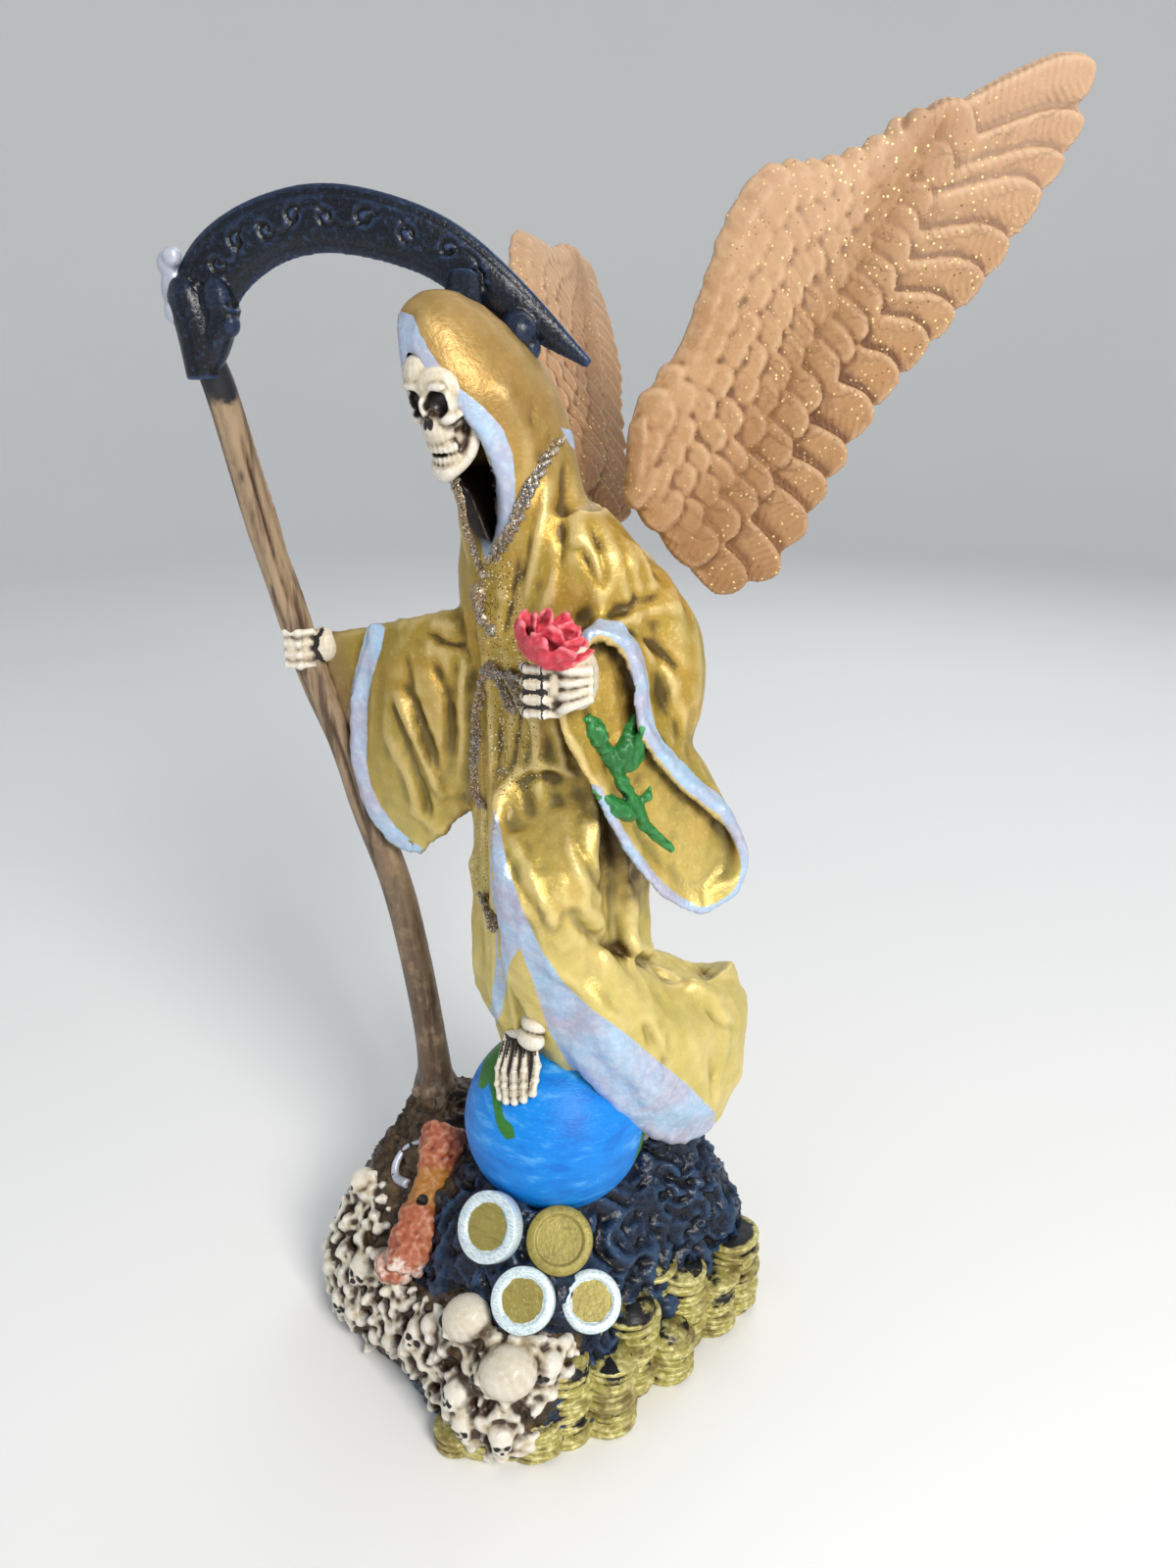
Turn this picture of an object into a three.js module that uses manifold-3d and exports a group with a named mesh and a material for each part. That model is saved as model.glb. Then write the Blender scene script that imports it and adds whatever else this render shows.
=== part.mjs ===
// Santa muerte figure: a hooded, robed skeleton with a scythe and a rose, standing with one bony
// foot on a blue globe, on a heap of coins, small skulls and rock. The figure is one casting, and
// each of its two raised wings is a casting of its own, set against the back of a shoulder.
// Millimetres, +Z up. The figure looks along -Y, and its left hand is towards +X.
import * as THREE from "three";
import { mergeVertices } from "three/addons/utils/BufferGeometryUtils.js";
import Module from "manifold-3d";

const wasm = await Module();
wasm.setup();

// Heights and the standing heap
const figureHeight = 302;
const baseWidth = 110;
const baseDepth = 114;
const rimHeight = 20;
const heapHeight = 64;
const rimLump = 1.2;
const slopeLump = 1.6;
const globeDiameter = 53;
const globeSink = 10.7;

// The scythe
const staffFootDiameter = 10.5;
const staffTopDiameter = 7;
const bladeWidth = 15.5;
const bladeThickness = 5;
const buttLength = 12;

// Small carved things
const coinDiameter = 20;
const coinThickness = 4.5;
const coinRim = 2.2;
const stackDiameter = 18;
const stackCoinThickness = 6;
const stackFoot = 2;
const stackGroove = 1.3;
const hourglassDiameter = 14;
const largeSkullDiameter = 17;
const smallSkullDiameter = 12.5;
const bonesDiameter = 7;
const ropeDiameter = 3.6;
const roseDiameter = 18;
const stemDiameter = 4.4;
const fingerDiameter = 3.8;

// The sleeves' open mouths and the hood's face opening
const sleeveWall = 2.6;
const sleeveHollow = 9;
const faceOpening = 21;

// The wings and the line where they meet the back
const wingLength = 149;
const wingThickness = 7;
const featherCount = 13;
const jointGap = 0.35;

// Free forms are drawn on a scale of their own, where the heap's top and the hood's top have these
// marks, and are stretched to the figure's real height above the real heap.
const drawnMarks = [64, 302];
const stretch = (figureHeight - heapHeight) / (drawnMarks[1] - drawnMarks[0]);

function at(x, y, z) {
  return new THREE.Vector3(
    x * stretch, y * stretch, heapHeight + (z - drawnMarks[0]) * stretch);
}

function span(x, y, z) {
  return new THREE.Vector3(x, y, z).multiplyScalar(stretch);
}

// A closed solid from a three.js geometry, turned so that its faces point out
function solid(geometry) {
  const bare = new THREE.BufferGeometry();
  bare.setAttribute("position", geometry.getAttribute("position").clone());
  bare.setIndex(geometry.index ? geometry.index.clone() : null);
  const merged = mergeVertices(bare);
  const vertProperties = new Float32Array(merged.getAttribute("position").array);
  const triVerts = new Uint32Array(merged.index.array);
  const corner = (i) => new THREE.Vector3().fromArray(vertProperties, 3 * triVerts[i]);
  let volume = 0;
  for (let i = 0; i < triVerts.length; i += 3) {
    volume += corner(i).dot(corner(i + 1).cross(corner(i + 2)));
  }
  if (volume < 0) {
    triVerts.reverse();
  }
  return new wasm.Manifold(new wasm.Mesh({ numProp: 3, vertProperties, triVerts }));
}

function joined(parts) {
  return parts.reduce((whole, part) => whole.add(part));
}

// A tube-like solid: every vertex of a cylinder goes where place(angle, share of length) says
function shaped(sides, rows, place) {
  const geometry = new THREE.CylinderGeometry(1, 1, 1, sides, rows);
  const spots = geometry.getAttribute("position");
  const middle = (share) => {
    const sum = new THREE.Vector3();
    for (let i = 0; i < sides; i += 1) {
      sum.add(place((2 * Math.PI * i) / sides, share));
    }
    return sum.divideScalar(sides);
  };
  for (let i = 0; i < spots.count; i += 1) {
    const share = spots.getY(i) + 0.5;
    const x = spots.getX(i);
    const y = -spots.getZ(i);
    const inside = Math.hypot(x, y) < 0.5;
    const point = inside ? middle(share) : place(Math.atan2(y, x), share);
    spots.setXYZ(i, point.x, point.y, point.z);
  }
  return solid(geometry);
}

function smooth(points) {
  return new THREE.CatmullRomCurve3(points, false, "catmullrom", 0.5);
}

// A loft through elliptical sections [centre, half-axis, half-axis]
function loft(sections, sides, rows, relief = () => 1) {
  const [centres, wides, talls] = [0, 1, 2].map((k) => smooth(sections.map((row) => row[k])));
  return shaped(sides, rows, (angle, share) => {
    const swell = relief(angle, share);
    return centres.getPoint(share)
      .addScaledVector(wides.getPoint(share), Math.cos(angle) * swell)
      .addScaledVector(talls.getPoint(share), Math.sin(angle) * swell);
  });
}

// A round rod along a smooth path, with a radius at each of its points
function rod(points, radii, sides, rows) {
  const path = smooth(points);
  const size = smooth(radii.map((radius) => new THREE.Vector3(radius, 0, 0)));
  const reference = new THREE.Vector3(0.31, 0.83, 0.46);
  return shaped(sides, rows, (angle, share) => {
    const along = path.getTangent(share);
    const side = new THREE.Vector3().crossVectors(along, reference).normalize();
    const other = new THREE.Vector3().crossVectors(along, side);
    const radius = size.getPoint(share).x;
    return path.getPoint(share)
      .addScaledVector(side, Math.cos(angle) * radius)
      .addScaledVector(other, Math.sin(angle) * radius);
  });
}

// An upright column of oval sections [height, x, y, half width, half depth]. Its skin is read by
// angle and share of its length, or by angle and height for what lies on it.
function column(sections, relief = () => 1) {
  const centres = smooth(sections.map(([z, x, y]) => at(x, y, z)));
  const halves = smooth(sections.map(([, , , wide, deep]) => span(wide, deep, 0)));
  const skin = (angle, share, grow = 0) => {
    const half = halves.getPoint(share);
    const swell = relief(angle, share);
    return centres.getPoint(share).add(new THREE.Vector3(
      Math.cos(angle) * (half.x * swell + grow), Math.sin(angle) * (half.y * swell + grow), 0));
  };
  const onSkin = (angle, height, grow = 0) => {
    const target = at(0, 0, height).z;
    let [low, high] = [0, 1];
    for (let i = 0; i < 20; i += 1) {
      const middle = (low + high) / 2;
      [low, high] = centres.getPoint(middle).z < target ? [middle, high] : [low, middle];
    }
    return skin(angle * Math.PI, low, grow);
  };
  return { skin, onSkin };
}

function ball(centre, half, columns, rows, turn = new THREE.Euler()) {
  const geometry = new THREE.SphereGeometry(1, columns, rows);
  geometry.rotateX(Math.PI / 2);
  geometry.scale(half.x, half.y, half.z);
  geometry.applyQuaternion(new THREE.Quaternion().setFromEuler(turn));
  geometry.translate(centre.x, centre.y, centre.z);
  return solid(geometry);
}

function round(radius) {
  return new THREE.Vector3(radius, radius, radius);
}

// The heap: a lumpy square plan that climbs from a steep edge to a broad crown. The plan is
// given as shares of the base's half sizes at even angles, from +X round to +Y and back.
const planShares = [
  1, 1.05, 1.3, 1.1, 1, 1.04, 1.12, 1.05, 1, 1.05, 1.12, 1, 0.9, 1.03, 1.22, 1.09,
];
const planCircle = new THREE.CatmullRomCurve3(
  planShares.map((share) => new THREE.Vector3(share, 0, 0)), true, "catmullrom", 0.5);
const crownSharpness = 4;

// Crags that rise above the crown: [x, y, height, spread] in shares of the base and the heap
const crags = [[-0.51, -0.18, 0.2, 0.17], [0.65, 0.7, 0.22, 0.27]];

function planRadius(angle) {
  const share = planCircle.getPoint((angle / (2 * Math.PI) + 1) % 1).x;
  return share / Math.hypot(Math.cos(angle) / (baseWidth / 2), Math.sin(angle) / (baseDepth / 2));
}

function heapTop(x, y) {
  const out = Math.hypot(x, y) / planRadius(Math.atan2(y, x));
  const dome = rimHeight + (heapHeight - rimHeight) * Math.max(0, 1 - out ** crownSharpness);
  return crags.reduce((height, [midX, midY, rise, spread]) => {
    const far = Math.hypot((2 * x) / baseWidth - midX, (2 * y) / baseDepth - midY) / spread;
    return height + rise * heapHeight * Math.exp(-0.5 * far * far);
  }, dome);
}

function heap() {
  const rings = [[0.95, 0], [1, 0.35], [1, 1]];
  const climb = [0.93, 0.82, 0.66, 0.42, 0.18];
  const rows = rings.length + climb.length - 1;
  return shaped(20, rows, (angle, share) => {
    const row = Math.round(share * rows);
    if (row < rings.length) {
      const reach = planRadius(angle) * rings[row][0];
      const lump = row === 0 ? 0 : rimLump * Math.sin(7 * angle + 2 * row);
      return new THREE.Vector3(
        Math.cos(angle) * reach, Math.sin(angle) * reach, rings[row][1] * (rimHeight + lump));
    }
    const out = climb[row - rings.length];
    const reach = planRadius(angle) * out;
    const x = Math.cos(angle) * reach;
    const y = Math.sin(angle) * reach;
    const lump = slopeLump * out * Math.sin(6 * angle + 9 * out);
    return new THREE.Vector3(x, y, heapTop(x, y) + lump);
  });
}

// The globe, bedded in the heap's front, and spots on its skin
const globeRadius = globeDiameter / 2;
const globeCentre = new THREE.Vector3(
  20.4 * stretch, -3.8 * stretch, heapHeight + globeRadius - globeSink);

function onGlobe(x, y, z, lift) {
  const out = new THREE.Vector3(x, y, z).normalize();
  return globeCentre.clone().addScaledVector(out, globeRadius + lift);
}

// The robe: a column of pleated cloth under the hood, with the bent left leg pushing forward
const robePleats = 13;
const robeColumn = column([
  [66, 18, 20, 27, 24], [84, 18, 17, 28, 23], [100, 17, 11, 28, 23], [118, 15.5, 5, 27.5, 22],
  [134, 15, 4.5, 27, 21.5], [155, 15, 4.5, 26.5, 21], [176, 15, 4, 26, 20.5], [192, 15, 3, 25, 19.5],
  [207, 15, 2, 23, 18], [220, 15, 1, 26, 18], [233, 16, 0.5, 29, 17.5],
  [244, 16.5, -0.5, 28, 16], [254, 15, -3, 20, 14],
], (angle, share) => 1 + (0.015 + 0.075 * (1 - share)) * Math.cos(robePleats * angle));

function robe(grow = 0) {
  return shaped(2 * robePleats, 8, (angle, share) => robeColumn.skin(angle, share, grow));
}

function bentLeg() {
  return loft([
    [at(17, -2, 192), span(15, 0, 3), span(0, 9, 8)],
    [at(30, -15, 182), span(13, 7, 0), span(-5, 8, 10)],
    [at(34, -19, 170), span(11, 8, 0), span(-6, 8, 8)],
    [at(31, -15, 150), span(11, 8, 0), span(-6, 9, 0)],
    [at(27, -9, 128), span(12, 8, 0), span(-7, 9, 0)],
    [at(24, -4, 110), span(12, 8, 0), span(-6, 8, 0)],
  ], 10, 7, (angle, share) => 1 + 0.08 * share * share * Math.cos(5 * angle));
}

// The train sweeps from the front opening round the figure's left side to the back
const trainSections = [
  [at(25, -9, 144), span(7, -8, 2), span(3, 3, 24)],
  [at(36, -3, 122), span(10, -7, 2), span(2, 3, 22)],
  [at(42, 12, 101), span(11, -4, 0), span(1, 3, 22)],
  [at(46, 28, 92), span(9, -1, 0), span(0, 3, 22)],
  [at(43, 42, 94), span(7, 4, 0), span(-2, 3, 19)],
  [at(30, 44, 97), span(5, 8, 0), span(-2, 3, 16)],
  [at(12, 33, 100), span(2, 9, 0), span(-2, 1, 15)],
];

function train() {
  return loft(trainSections, 12, 8, (angle, share) => 1 + 0.06 * Math.cos(6 * angle + 5 * share));
}

// The front of the robe parts in a tall wedge over the foot
function robeOpening() {
  return loft([
    [at(15, -24, 162), span(1.2, 0, 0), span(0, 5, 0)],
    [at(18, -24, 140), span(3, 1, 0), span(0, 7, 0)],
    [at(21, -22, 122), span(5.5, 2, 0), span(0, 9, 0)],
    [at(22, -21, 102), span(8, 3, 0), span(0, 11, 0)],
  ], 8, 4);
}

// The hood: a cowl, pointed forward over the brow, with a tall opening for the face
const hoodColumn = column([
  [236, 15.5, -1, 24, 15.5], [246, 15, -3, 22.5, 15], [255, 13.5, -5.5, 16.5, 15.5],
  [263, 12, -8.5, 14.5, 18], [272, 11, -12, 14.5, 20.5], [282, 10, -15.5, 14, 19.5],
  [291, 8.5, -19, 11, 16], [298, 7, -22.5, 6.5, 10], [302, 6.5, -24, 1.2, 2.5],
]);

function hood(grow = 0) {
  return shaped(14, 7, (angle, share) => hoodColumn.skin(angle, share, grow));
}

function faceHollow() {
  const half = faceOpening / 2;
  return loft([
    [at(12, -26, 240), new THREE.Vector3(half * 0.3, 0, 0), span(0, 9, 0)],
    [at(12.5, -27, 250), new THREE.Vector3(half * 0.75, 0, 0), span(0, 11, 0)],
    [at(13, -30, 262), new THREE.Vector3(half, 0, 0), span(0, 13, 0)],
    [at(13, -33, 274), new THREE.Vector3(half, 0, 0), span(0, 15, 0)],
    [at(12, -36, 284), new THREE.Vector3(half * 0.85, 0, 0), span(0, 15, 0)],
    [at(10, -38, 293), new THREE.Vector3(half * 0.4, 0, 0), span(0, 11, 0)],
  ], 8, 5);
}

// A skull looking along -Y before it is turned: cranium, cheeks, jaw, and dark sockets cut in
function skull(centre, diameter, turn, fine) {
  const unit = diameter / 2;
  const part = (x, y, z, wide, deep, tall, columns, rows) => ball(
    new THREE.Vector3(x, y, z).multiplyScalar(unit),
    new THREE.Vector3(wide, deep, tall).multiplyScalar(unit), columns, rows);
  const mass = [part(0, 0.1, 0.25, 0.92, 1.08, 0.95, fine ? 10 : 7, fine ? 7 : 4)];
  mass.push(part(0, -0.5, -0.62, 0.55, 0.52, 0.55, fine ? 7 : 5, fine ? 4 : 3));
  if (fine) {
    mass.push(part(0.48, -0.55, -0.18, 0.3, 0.34, 0.2, 6, 4));
    mass.push(part(-0.48, -0.55, -0.18, 0.3, 0.34, 0.2, 6, 4));
    mass.push(part(0, -0.5, -1.18, 0.46, 0.5, 0.32, 7, 4));
  }
  const cuts = [-1, 1].map((side) => part(
    0.38 * side, -0.98, 0.1, 0.25, 0.34, 0.25, fine ? 6 : 4, 3));
  if (fine) {
    cuts.push(part(0, -1.1, -0.28, 0.12, 0.3, 0.18, 4, 3));
  }
  const whole = joined(mass).subtract(joined(cuts));
  const place = new THREE.Matrix4().compose(
    centre, new THREE.Quaternion().setFromEuler(turn), new THREE.Vector3(1, 1, 1));
  return whole.transform(place.toArray());
}

function head() {
  const face = skull(
    at(13, -22.5, 277), 20 * stretch, new THREE.Euler(0.3, 0, 0.12), true);
  const neck = rod([at(12.5, -10, 240), at(12.5, -14, 256), at(13, -17, 270)],
    [7, 5, 5].map((radius) => radius * stretch), 6, 2);
  return face.add(neck);
}

// A bell sleeve between an ellipse in the shoulder and a drooping mouth, hollow at its mouth
function sleeve(mouthPoints, shoulder, halfDepth, halfHeight, bulge) {
  const mouth = new THREE.CatmullRomCurve3(mouthPoints, true, "catmullrom", 0.5);
  const middle = mouthPoints.reduce((sum, point) => sum.add(point), new THREE.Vector3())
    .divideScalar(mouthPoints.length);
  const length = middle.distanceTo(shoulder);
  const skin = (angle, share, wall) => {
    const turn = (0.25 - angle / (2 * Math.PI) + 2) % 1;
    const rim = mouth.getPoint(turn);
    rim.addScaledVector(middle.clone().sub(rim).normalize(), wall);
    const root = shoulder.clone()
      .add(halfDepth.clone().multiplyScalar(Math.cos(angle)))
      .add(new THREE.Vector3(0, 0, halfHeight * Math.sin(angle)));
    const swell = Math.sin(Math.PI * Math.min(1, share));
    return root.lerp(rim, share).addScaledVector(bulge, swell);
  };
  const outer = (grow) => shaped(13, 3, (angle, share) => skin(angle, share, -grow));
  const cut = shaped(13, 1, (angle, share) => {
    const depth = 1 + (share * 1.25 - 1) * (sleeveHollow / length);
    return skin(angle, depth, sleeveWall);
  });
  return { outer, cut };
}

const leftSleeve = sleeve(
  [at(45, -14.5, 229.5), at(49, -0.7, 214), at(54.3, 10.3, 189), at(65, 25.5, 165),
    at(62, 18, 150.5), at(50, -2.5, 167.7), at(45.4, -15.5, 192), at(43, -20.9, 208.6)],
  at(30, 7, 208), span(4, 13, 0), 31 * stretch, span(1.5, 4, 2));

const rightSleeve = sleeve(
  [at(-37, -21, 219), at(-31, -22, 211), at(-34, -25, 198), at(-37, -27.4, 183),
    at(-30, -23, 164), at(-21.6, -16.5, 151.4), at(-33, -15, 166), at(-44, -19, 186),
    at(-47, -21, 206)],
  at(2, -2, 204), span(-1, -11, 0), 25 * stretch, span(0, -1, 0));

// The cloth over the left upper arm, from the shoulder down and back to the elbow
function upperArm(grow = 0) {
  return loft([
    [at(28, 3, 249), span(10, 2, -6), span(-1, 9, 0)],
    [at(33, 9, 240), span(11, 3, -3), span(-3, 11, 0)],
    [at(38, 15, 224), span(11, 4, 0), span(-4, 11, 0)],
    [at(39, 16.5, 208), span(11, 4, 0), span(-4, 11, 0)],
    [at(39, 15, 192), span(9, 3, 0), span(-3, 9, 0)],
  ].map(([centre, wide, deep]) => [
    centre, wide.setLength(wide.length() + grow), deep.setLength(deep.length() + grow)]), 11, 5);
}

// Closed finger bones over a palm, the row running down from the first finger
function hand(palm, reach, down, curl) {
  const radius = fingerDiameter / 2;
  const pitch = fingerDiameter * 0.93;
  const parts = [ball(palm, round(radius * 3.1), 7, 5)];
  for (let i = 0; i < 4; i += 1) {
    const start = palm.clone().addScaledVector(down, (i - 1.2) * pitch);
    parts.push(rod([
      start, start.clone().add(reach.clone().multiplyScalar(0.6)),
      start.clone().add(reach).addScaledVector(curl, 1)],
    [radius * 1.15, radius * 1.1, radius * 0.75], 5, 2));
  }
  return joined(parts);
}

const leftHandSpot = at(46.5, -23, 219);
const rightHandSpot = at(-45.5, -30.5, 212.5);

function rose() {
  const bud = shaped(10, 4, (angle, share) => {
    const open = Math.sin(Math.PI * (0.08 + 0.86 * share)) * (1 + 0.1 * Math.cos(5 * angle + 8 * share));
    const reach = (roseDiameter / 2) * open;
    const spot = at(44.2, -25.6, 229.3);
    return spot.add(new THREE.Vector3(
      reach * Math.cos(angle), reach * Math.sin(angle), (share - 0.5) * roseDiameter * 0.88));
  });
  const stem = rod(
    [at(45.5, -22, 224), at(46.4, -15, 208), at(49, -5, 190), at(55, 8, 170)],
    [1, 1, 0.9, 0.7].map((share) => (share * stemDiameter) / 2), 5, 4);
  const leaves = [
    [at(49, -7, 194), at(53.5, 1, 206), at(54, 5, 214)],
    [at(51, -2, 182), at(47.5, -8, 178), at(47, -13, 186)],
  ].map((points) => rod(points, [0.4, 0.95, 0.2].map((share) => share * stemDiameter), 5, 3));
  return [bud, stem, ...leaves];
}

// The bony left foot: shin, ankle and five toes that lie on the globe
function foot() {
  const ankle = at(23.7, -14.6, 121);
  const toes = [-1.5, -0.5, 0.5, 1.5].map((spread) => {
    const heel = ankle.clone().add(span(spread, -1, -6));
    const knuckle = onGlobe(1 + 4.2 * spread, -17, 21, 1.8 * stretch);
    const tip = onGlobe(0.5 + 5.2 * spread, -23.5, 15, stretch);
    return rod([heel, knuckle, tip], [2.5, 2, 1.6].map((r) => r * stretch), 5, 2);
  });
  const shin = rod([at(24, -10, 136), ankle, ankle.clone().add(span(0, -1, -6))],
    [4, 3.6, 5].map((r) => r * stretch), 6, 2);
  return [shin, ...toes];
}

// The scythe: a crooked wooden staff that widens into roots, and a broad curved blade
const staffFoot = at(-28.3, -10, 66);
const staffPath = [
  staffFoot, at(-29, -10.6, 84), at(-31.4, -13.1, 114), at(-34.6, -16.3, 140),
  at(-39.6, -21, 163), at(-43.4, -25.1, 184), at(-47.7, -30.9, 205), at(-50, -36.5, 228),
  at(-51.4, -41.6, 250), at(-50.4, -49.1, 280), at(-50.4, -53.4, 293),
];
const bladeSpine = [
  at(-50.2, -53.6, 297.5), at(-44.5, -48.2, 309), at(-34.5, -39.5, 316.5), at(-22, -29.3, 318.3),
  at(-6, -16, 312.8), at(7, -5.5, 301.5), at(21, 9.4, 286.5),
];
const bladeShares = [1.02, 1.06, 1, 0.98, 0.86, 0.66, 0.06];

function scythe() {
  const radii = staffPath.map((_, i) => {
    const share = i / (staffPath.length - 1);
    const knot = 1 + 0.09 * Math.sin(5 * i);
    return (knot * THREE.MathUtils.lerp(staffFootDiameter, staffTopDiameter, share)) / 2;
  });
  radii[0] = staffFootDiameter * 0.75;
  const staff = rod(staffPath, radii, 6, 12);
  const top = staffPath[staffPath.length - 1];
  const butt = rod([
    top.clone().add(span(1, 0, -10)), top.clone(), top.clone().add(span(-2, -2, buttLength * 0.6)),
    top.clone().add(span(-3, -2, buttLength))],
  [1, 1.25, 1.3, 0.9].map((share) => (share * staffTopDiameter) / 2), 7, 4);
  const path = smooth(bladeSpine);
  const widths = smooth(bladeShares.map((share) => new THREE.Vector3(share, 0, 0)));
  const away = new THREE.Vector3(-1, 1, 0).normalize();
  const blade = shaped(6, 8, (angle, share) => {
    const along = path.getTangent(share);
    const across = new THREE.Vector3().crossVectors(away, along).normalize();
    const wide = widths.getPoint(share).x;
    return path.getPoint(share)
      .addScaledVector(across, (Math.cos(angle) * bladeWidth * wide) / 2)
      .addScaledVector(away, (Math.sin(angle) * bladeThickness * Math.min(1, wide + 0.25)) / 2);
  });
  const bridge = ball(at(7.5, -10, 296.5), span(5, 5, 5.5), 7, 4);
  const roots = [[-0.76, -0.29], [0.38, -0.76], [0.29, 0.76]].map(([x, y]) => {
    const end = staffFoot.clone().add(
      new THREE.Vector3(x, y, 0).multiplyScalar(staffFootDiameter));
    end.z = heapTop(end.x, end.y) - staffFootDiameter * 0.1;
    return rod([at(-29, -11, 82), end], [staffFootDiameter * 0.3, staffFootDiameter * 0.36], 5, 1);
  });
  return [staff, butt, blade, bridge, ...roots];
}

// The rope girdle, its hanging ends, and the bead strings that fall from the hood to the breast
function ropes() {
  const radius = ropeDiameter / 2;
  const girdleOverlap = 0.02;
  const girdle = [-1, 1].map((side) => {
    const points = [];
    for (let i = 0; i <= 6; i += 1) {
      const run = THREE.MathUtils.lerp(-girdleOverlap, 1 + girdleOverlap, i / 6);
      points.push(robeColumn.onSkin(-0.5 + side * run, 209, radius * 0.2));
    }
    return rod(points, points.map(() => radius), 4, 6);
  });
  const onRobe = (angle, height) => robeColumn.onSkin(angle, height, radius * 0.4);
  const onHood = (angle, height) => hoodColumn.onSkin(angle, height, radius * 0.4);
  const cords = [
    [onRobe(-0.5, 210), onRobe(-0.54, 204), onRobe(-0.55, 192), onRobe(-0.56, 181)],
    [onRobe(-0.5, 210), onRobe(-0.42, 207), onRobe(-0.38, 203), onRobe(-0.36, 197)],
    [onHood(-0.2, 262), onHood(-0.22, 252), onHood(-0.34, 244), onRobe(-0.5, 232)],
    [onHood(-0.8, 262), onHood(-0.78, 252), onHood(-0.66, 244), onRobe(-0.5, 232)],
  ].map((points) => rod(points, points.map(() => radius), 4, 3));
  const knot = ball(onRobe(-0.5, 210), round(ropeDiameter), 5, 3);
  const pendant = ball(onRobe(-0.5, 230), round(ropeDiameter * 1.15), 5, 3);
  return [...girdle, ...cords, knot, pendant];
}

// A coin: a plain disc with a raised rim on its face. It leans on the heap, its face turned
// round from the front by one angle and tipped up by another.
function coin(x, y, tip, face) {
  const radius = coinDiameter / 2;
  const half = coinThickness / 2;
  const field = half * 0.45;
  const profile = [
    [0, -half], [radius, -half], [radius, half], [radius - coinRim, half],
    [radius - coinRim, field], [0, field],
  ].map(([out, up]) => new THREE.Vector2(out, up));
  const geometry = new THREE.LatheGeometry(profile, 12);
  geometry.rotateX(Math.PI - tip);
  geometry.rotateZ(face);
  geometry.translate(x, y, heapTop(x, y));
  return solid(geometry);
}

// A column of stacked coins that stands at the heap's edge, with a groove between coins
function stack(x, y, count) {
  const radius = stackDiameter / 2;
  const [edgeLow, edgeHigh, grooveMiddle] = [0.25, 0.85, 1.05];
  const profile = [new THREE.Vector2(0, stackFoot)];
  for (let i = 0; i < count; i += 1) {
    const low = stackFoot + i * stackCoinThickness;
    profile.push(new THREE.Vector2(radius, low + stackCoinThickness * edgeLow));
    profile.push(new THREE.Vector2(radius, low + stackCoinThickness * edgeHigh));
    if (i < count - 1) {
      profile.push(new THREE.Vector2(
        radius - stackGroove, low + stackCoinThickness * grooveMiddle));
    }
  }
  profile.push(new THREE.Vector2(0, stackFoot + count * stackCoinThickness));
  const geometry = new THREE.LatheGeometry(profile, 8);
  geometry.rotateX(Math.PI / 2);
  geometry.translate(x, y, 0);
  return solid(geometry);
}

function spoils() {
  const halfWidth = baseWidth / 2;
  const halfDepth = baseDepth / 2;
  const coins = [
    [0.44, -0.58, 0.42, 0.3], [0.72, -0.36, 0.42, 0.8], [0.72, -0.64, 0.45, 0.55],
    [0.88, -0.33, 0.42, 0.95], [-0.2, 0.84, 0.9, 3.2],
  ].map(([x, y, tip, face]) => coin(x * halfWidth, y * halfDepth, tip, face));
  const stacks = [
    [0.88, -0.5, 3], [0.89, -0.06, 4], [0.9, 0.36, 4], [0.95, 0.78, 4],
  ].map(([x, y, count]) => stack(x * halfWidth, y * halfDepth, count));
  const skulls = [
    [0.8, -0.78, 0, largeSkullDiameter, 1.35, -0.75], [0.5, -0.8, 0, smallSkullDiameter, 0.3, -0.4],
    [0.14, -0.92, 0.16, smallSkullDiameter, -0.3, 0.3], [-0.3, -0.86, 0, largeSkullDiameter, 0.1, 0],
    [-0.78, -0.66, 0.24, largeSkullDiameter, 0, -0.6],
  ].map(([x, y, sunk, diameter, roll, face]) => {
    const top = heapTop(x * halfWidth, y * halfDepth);
    const centre = new THREE.Vector3(x * halfWidth, y * halfDepth, top - sunk * diameter);
    return skull(centre, diameter, new THREE.Euler(0.15, roll, face, "ZXY"), false);
  });
  const bones = [];
  for (let i = 0; i < 6; i += 1) {
    const angle = Math.PI * (-0.76 + 0.09 * i);
    const reach = planRadius(angle) * (0.97 + 0.02 * Math.sin(4 * i));
    bones.push(ball(new THREE.Vector3(
      Math.cos(angle) * reach, Math.sin(angle) * reach, rimHeight * (0.7 + 0.3 * Math.sin(3 * i))),
    round(bonesDiameter / 2), 5, 3));
  }
  return [...coins, ...stacks, ...skulls, ...bones];
}

// The small hourglass that leans on the heap beside the globe
function hourglass() {
  const low = new THREE.Vector3(0.02 * baseWidth / 2, -0.8 * baseDepth / 2, 0);
  const high = new THREE.Vector3(-0.17 * baseWidth / 2, -0.4 * baseDepth / 2, 0);
  low.z = heapTop(low.x, low.y);
  high.z = heapTop(high.x, high.y);
  const radius = hourglassDiameter / 2;
  const radii = [1, 0.95, 0.8, 0.42, 0.8, 0.95, 1].map((share) => share * radius);
  const path = radii.map((_, i) => low.clone().lerp(high, (1.3 * i) / (radii.length - 1) - 0.15));
  return rod(path, radii, 8, radii.length - 1);
}

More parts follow.
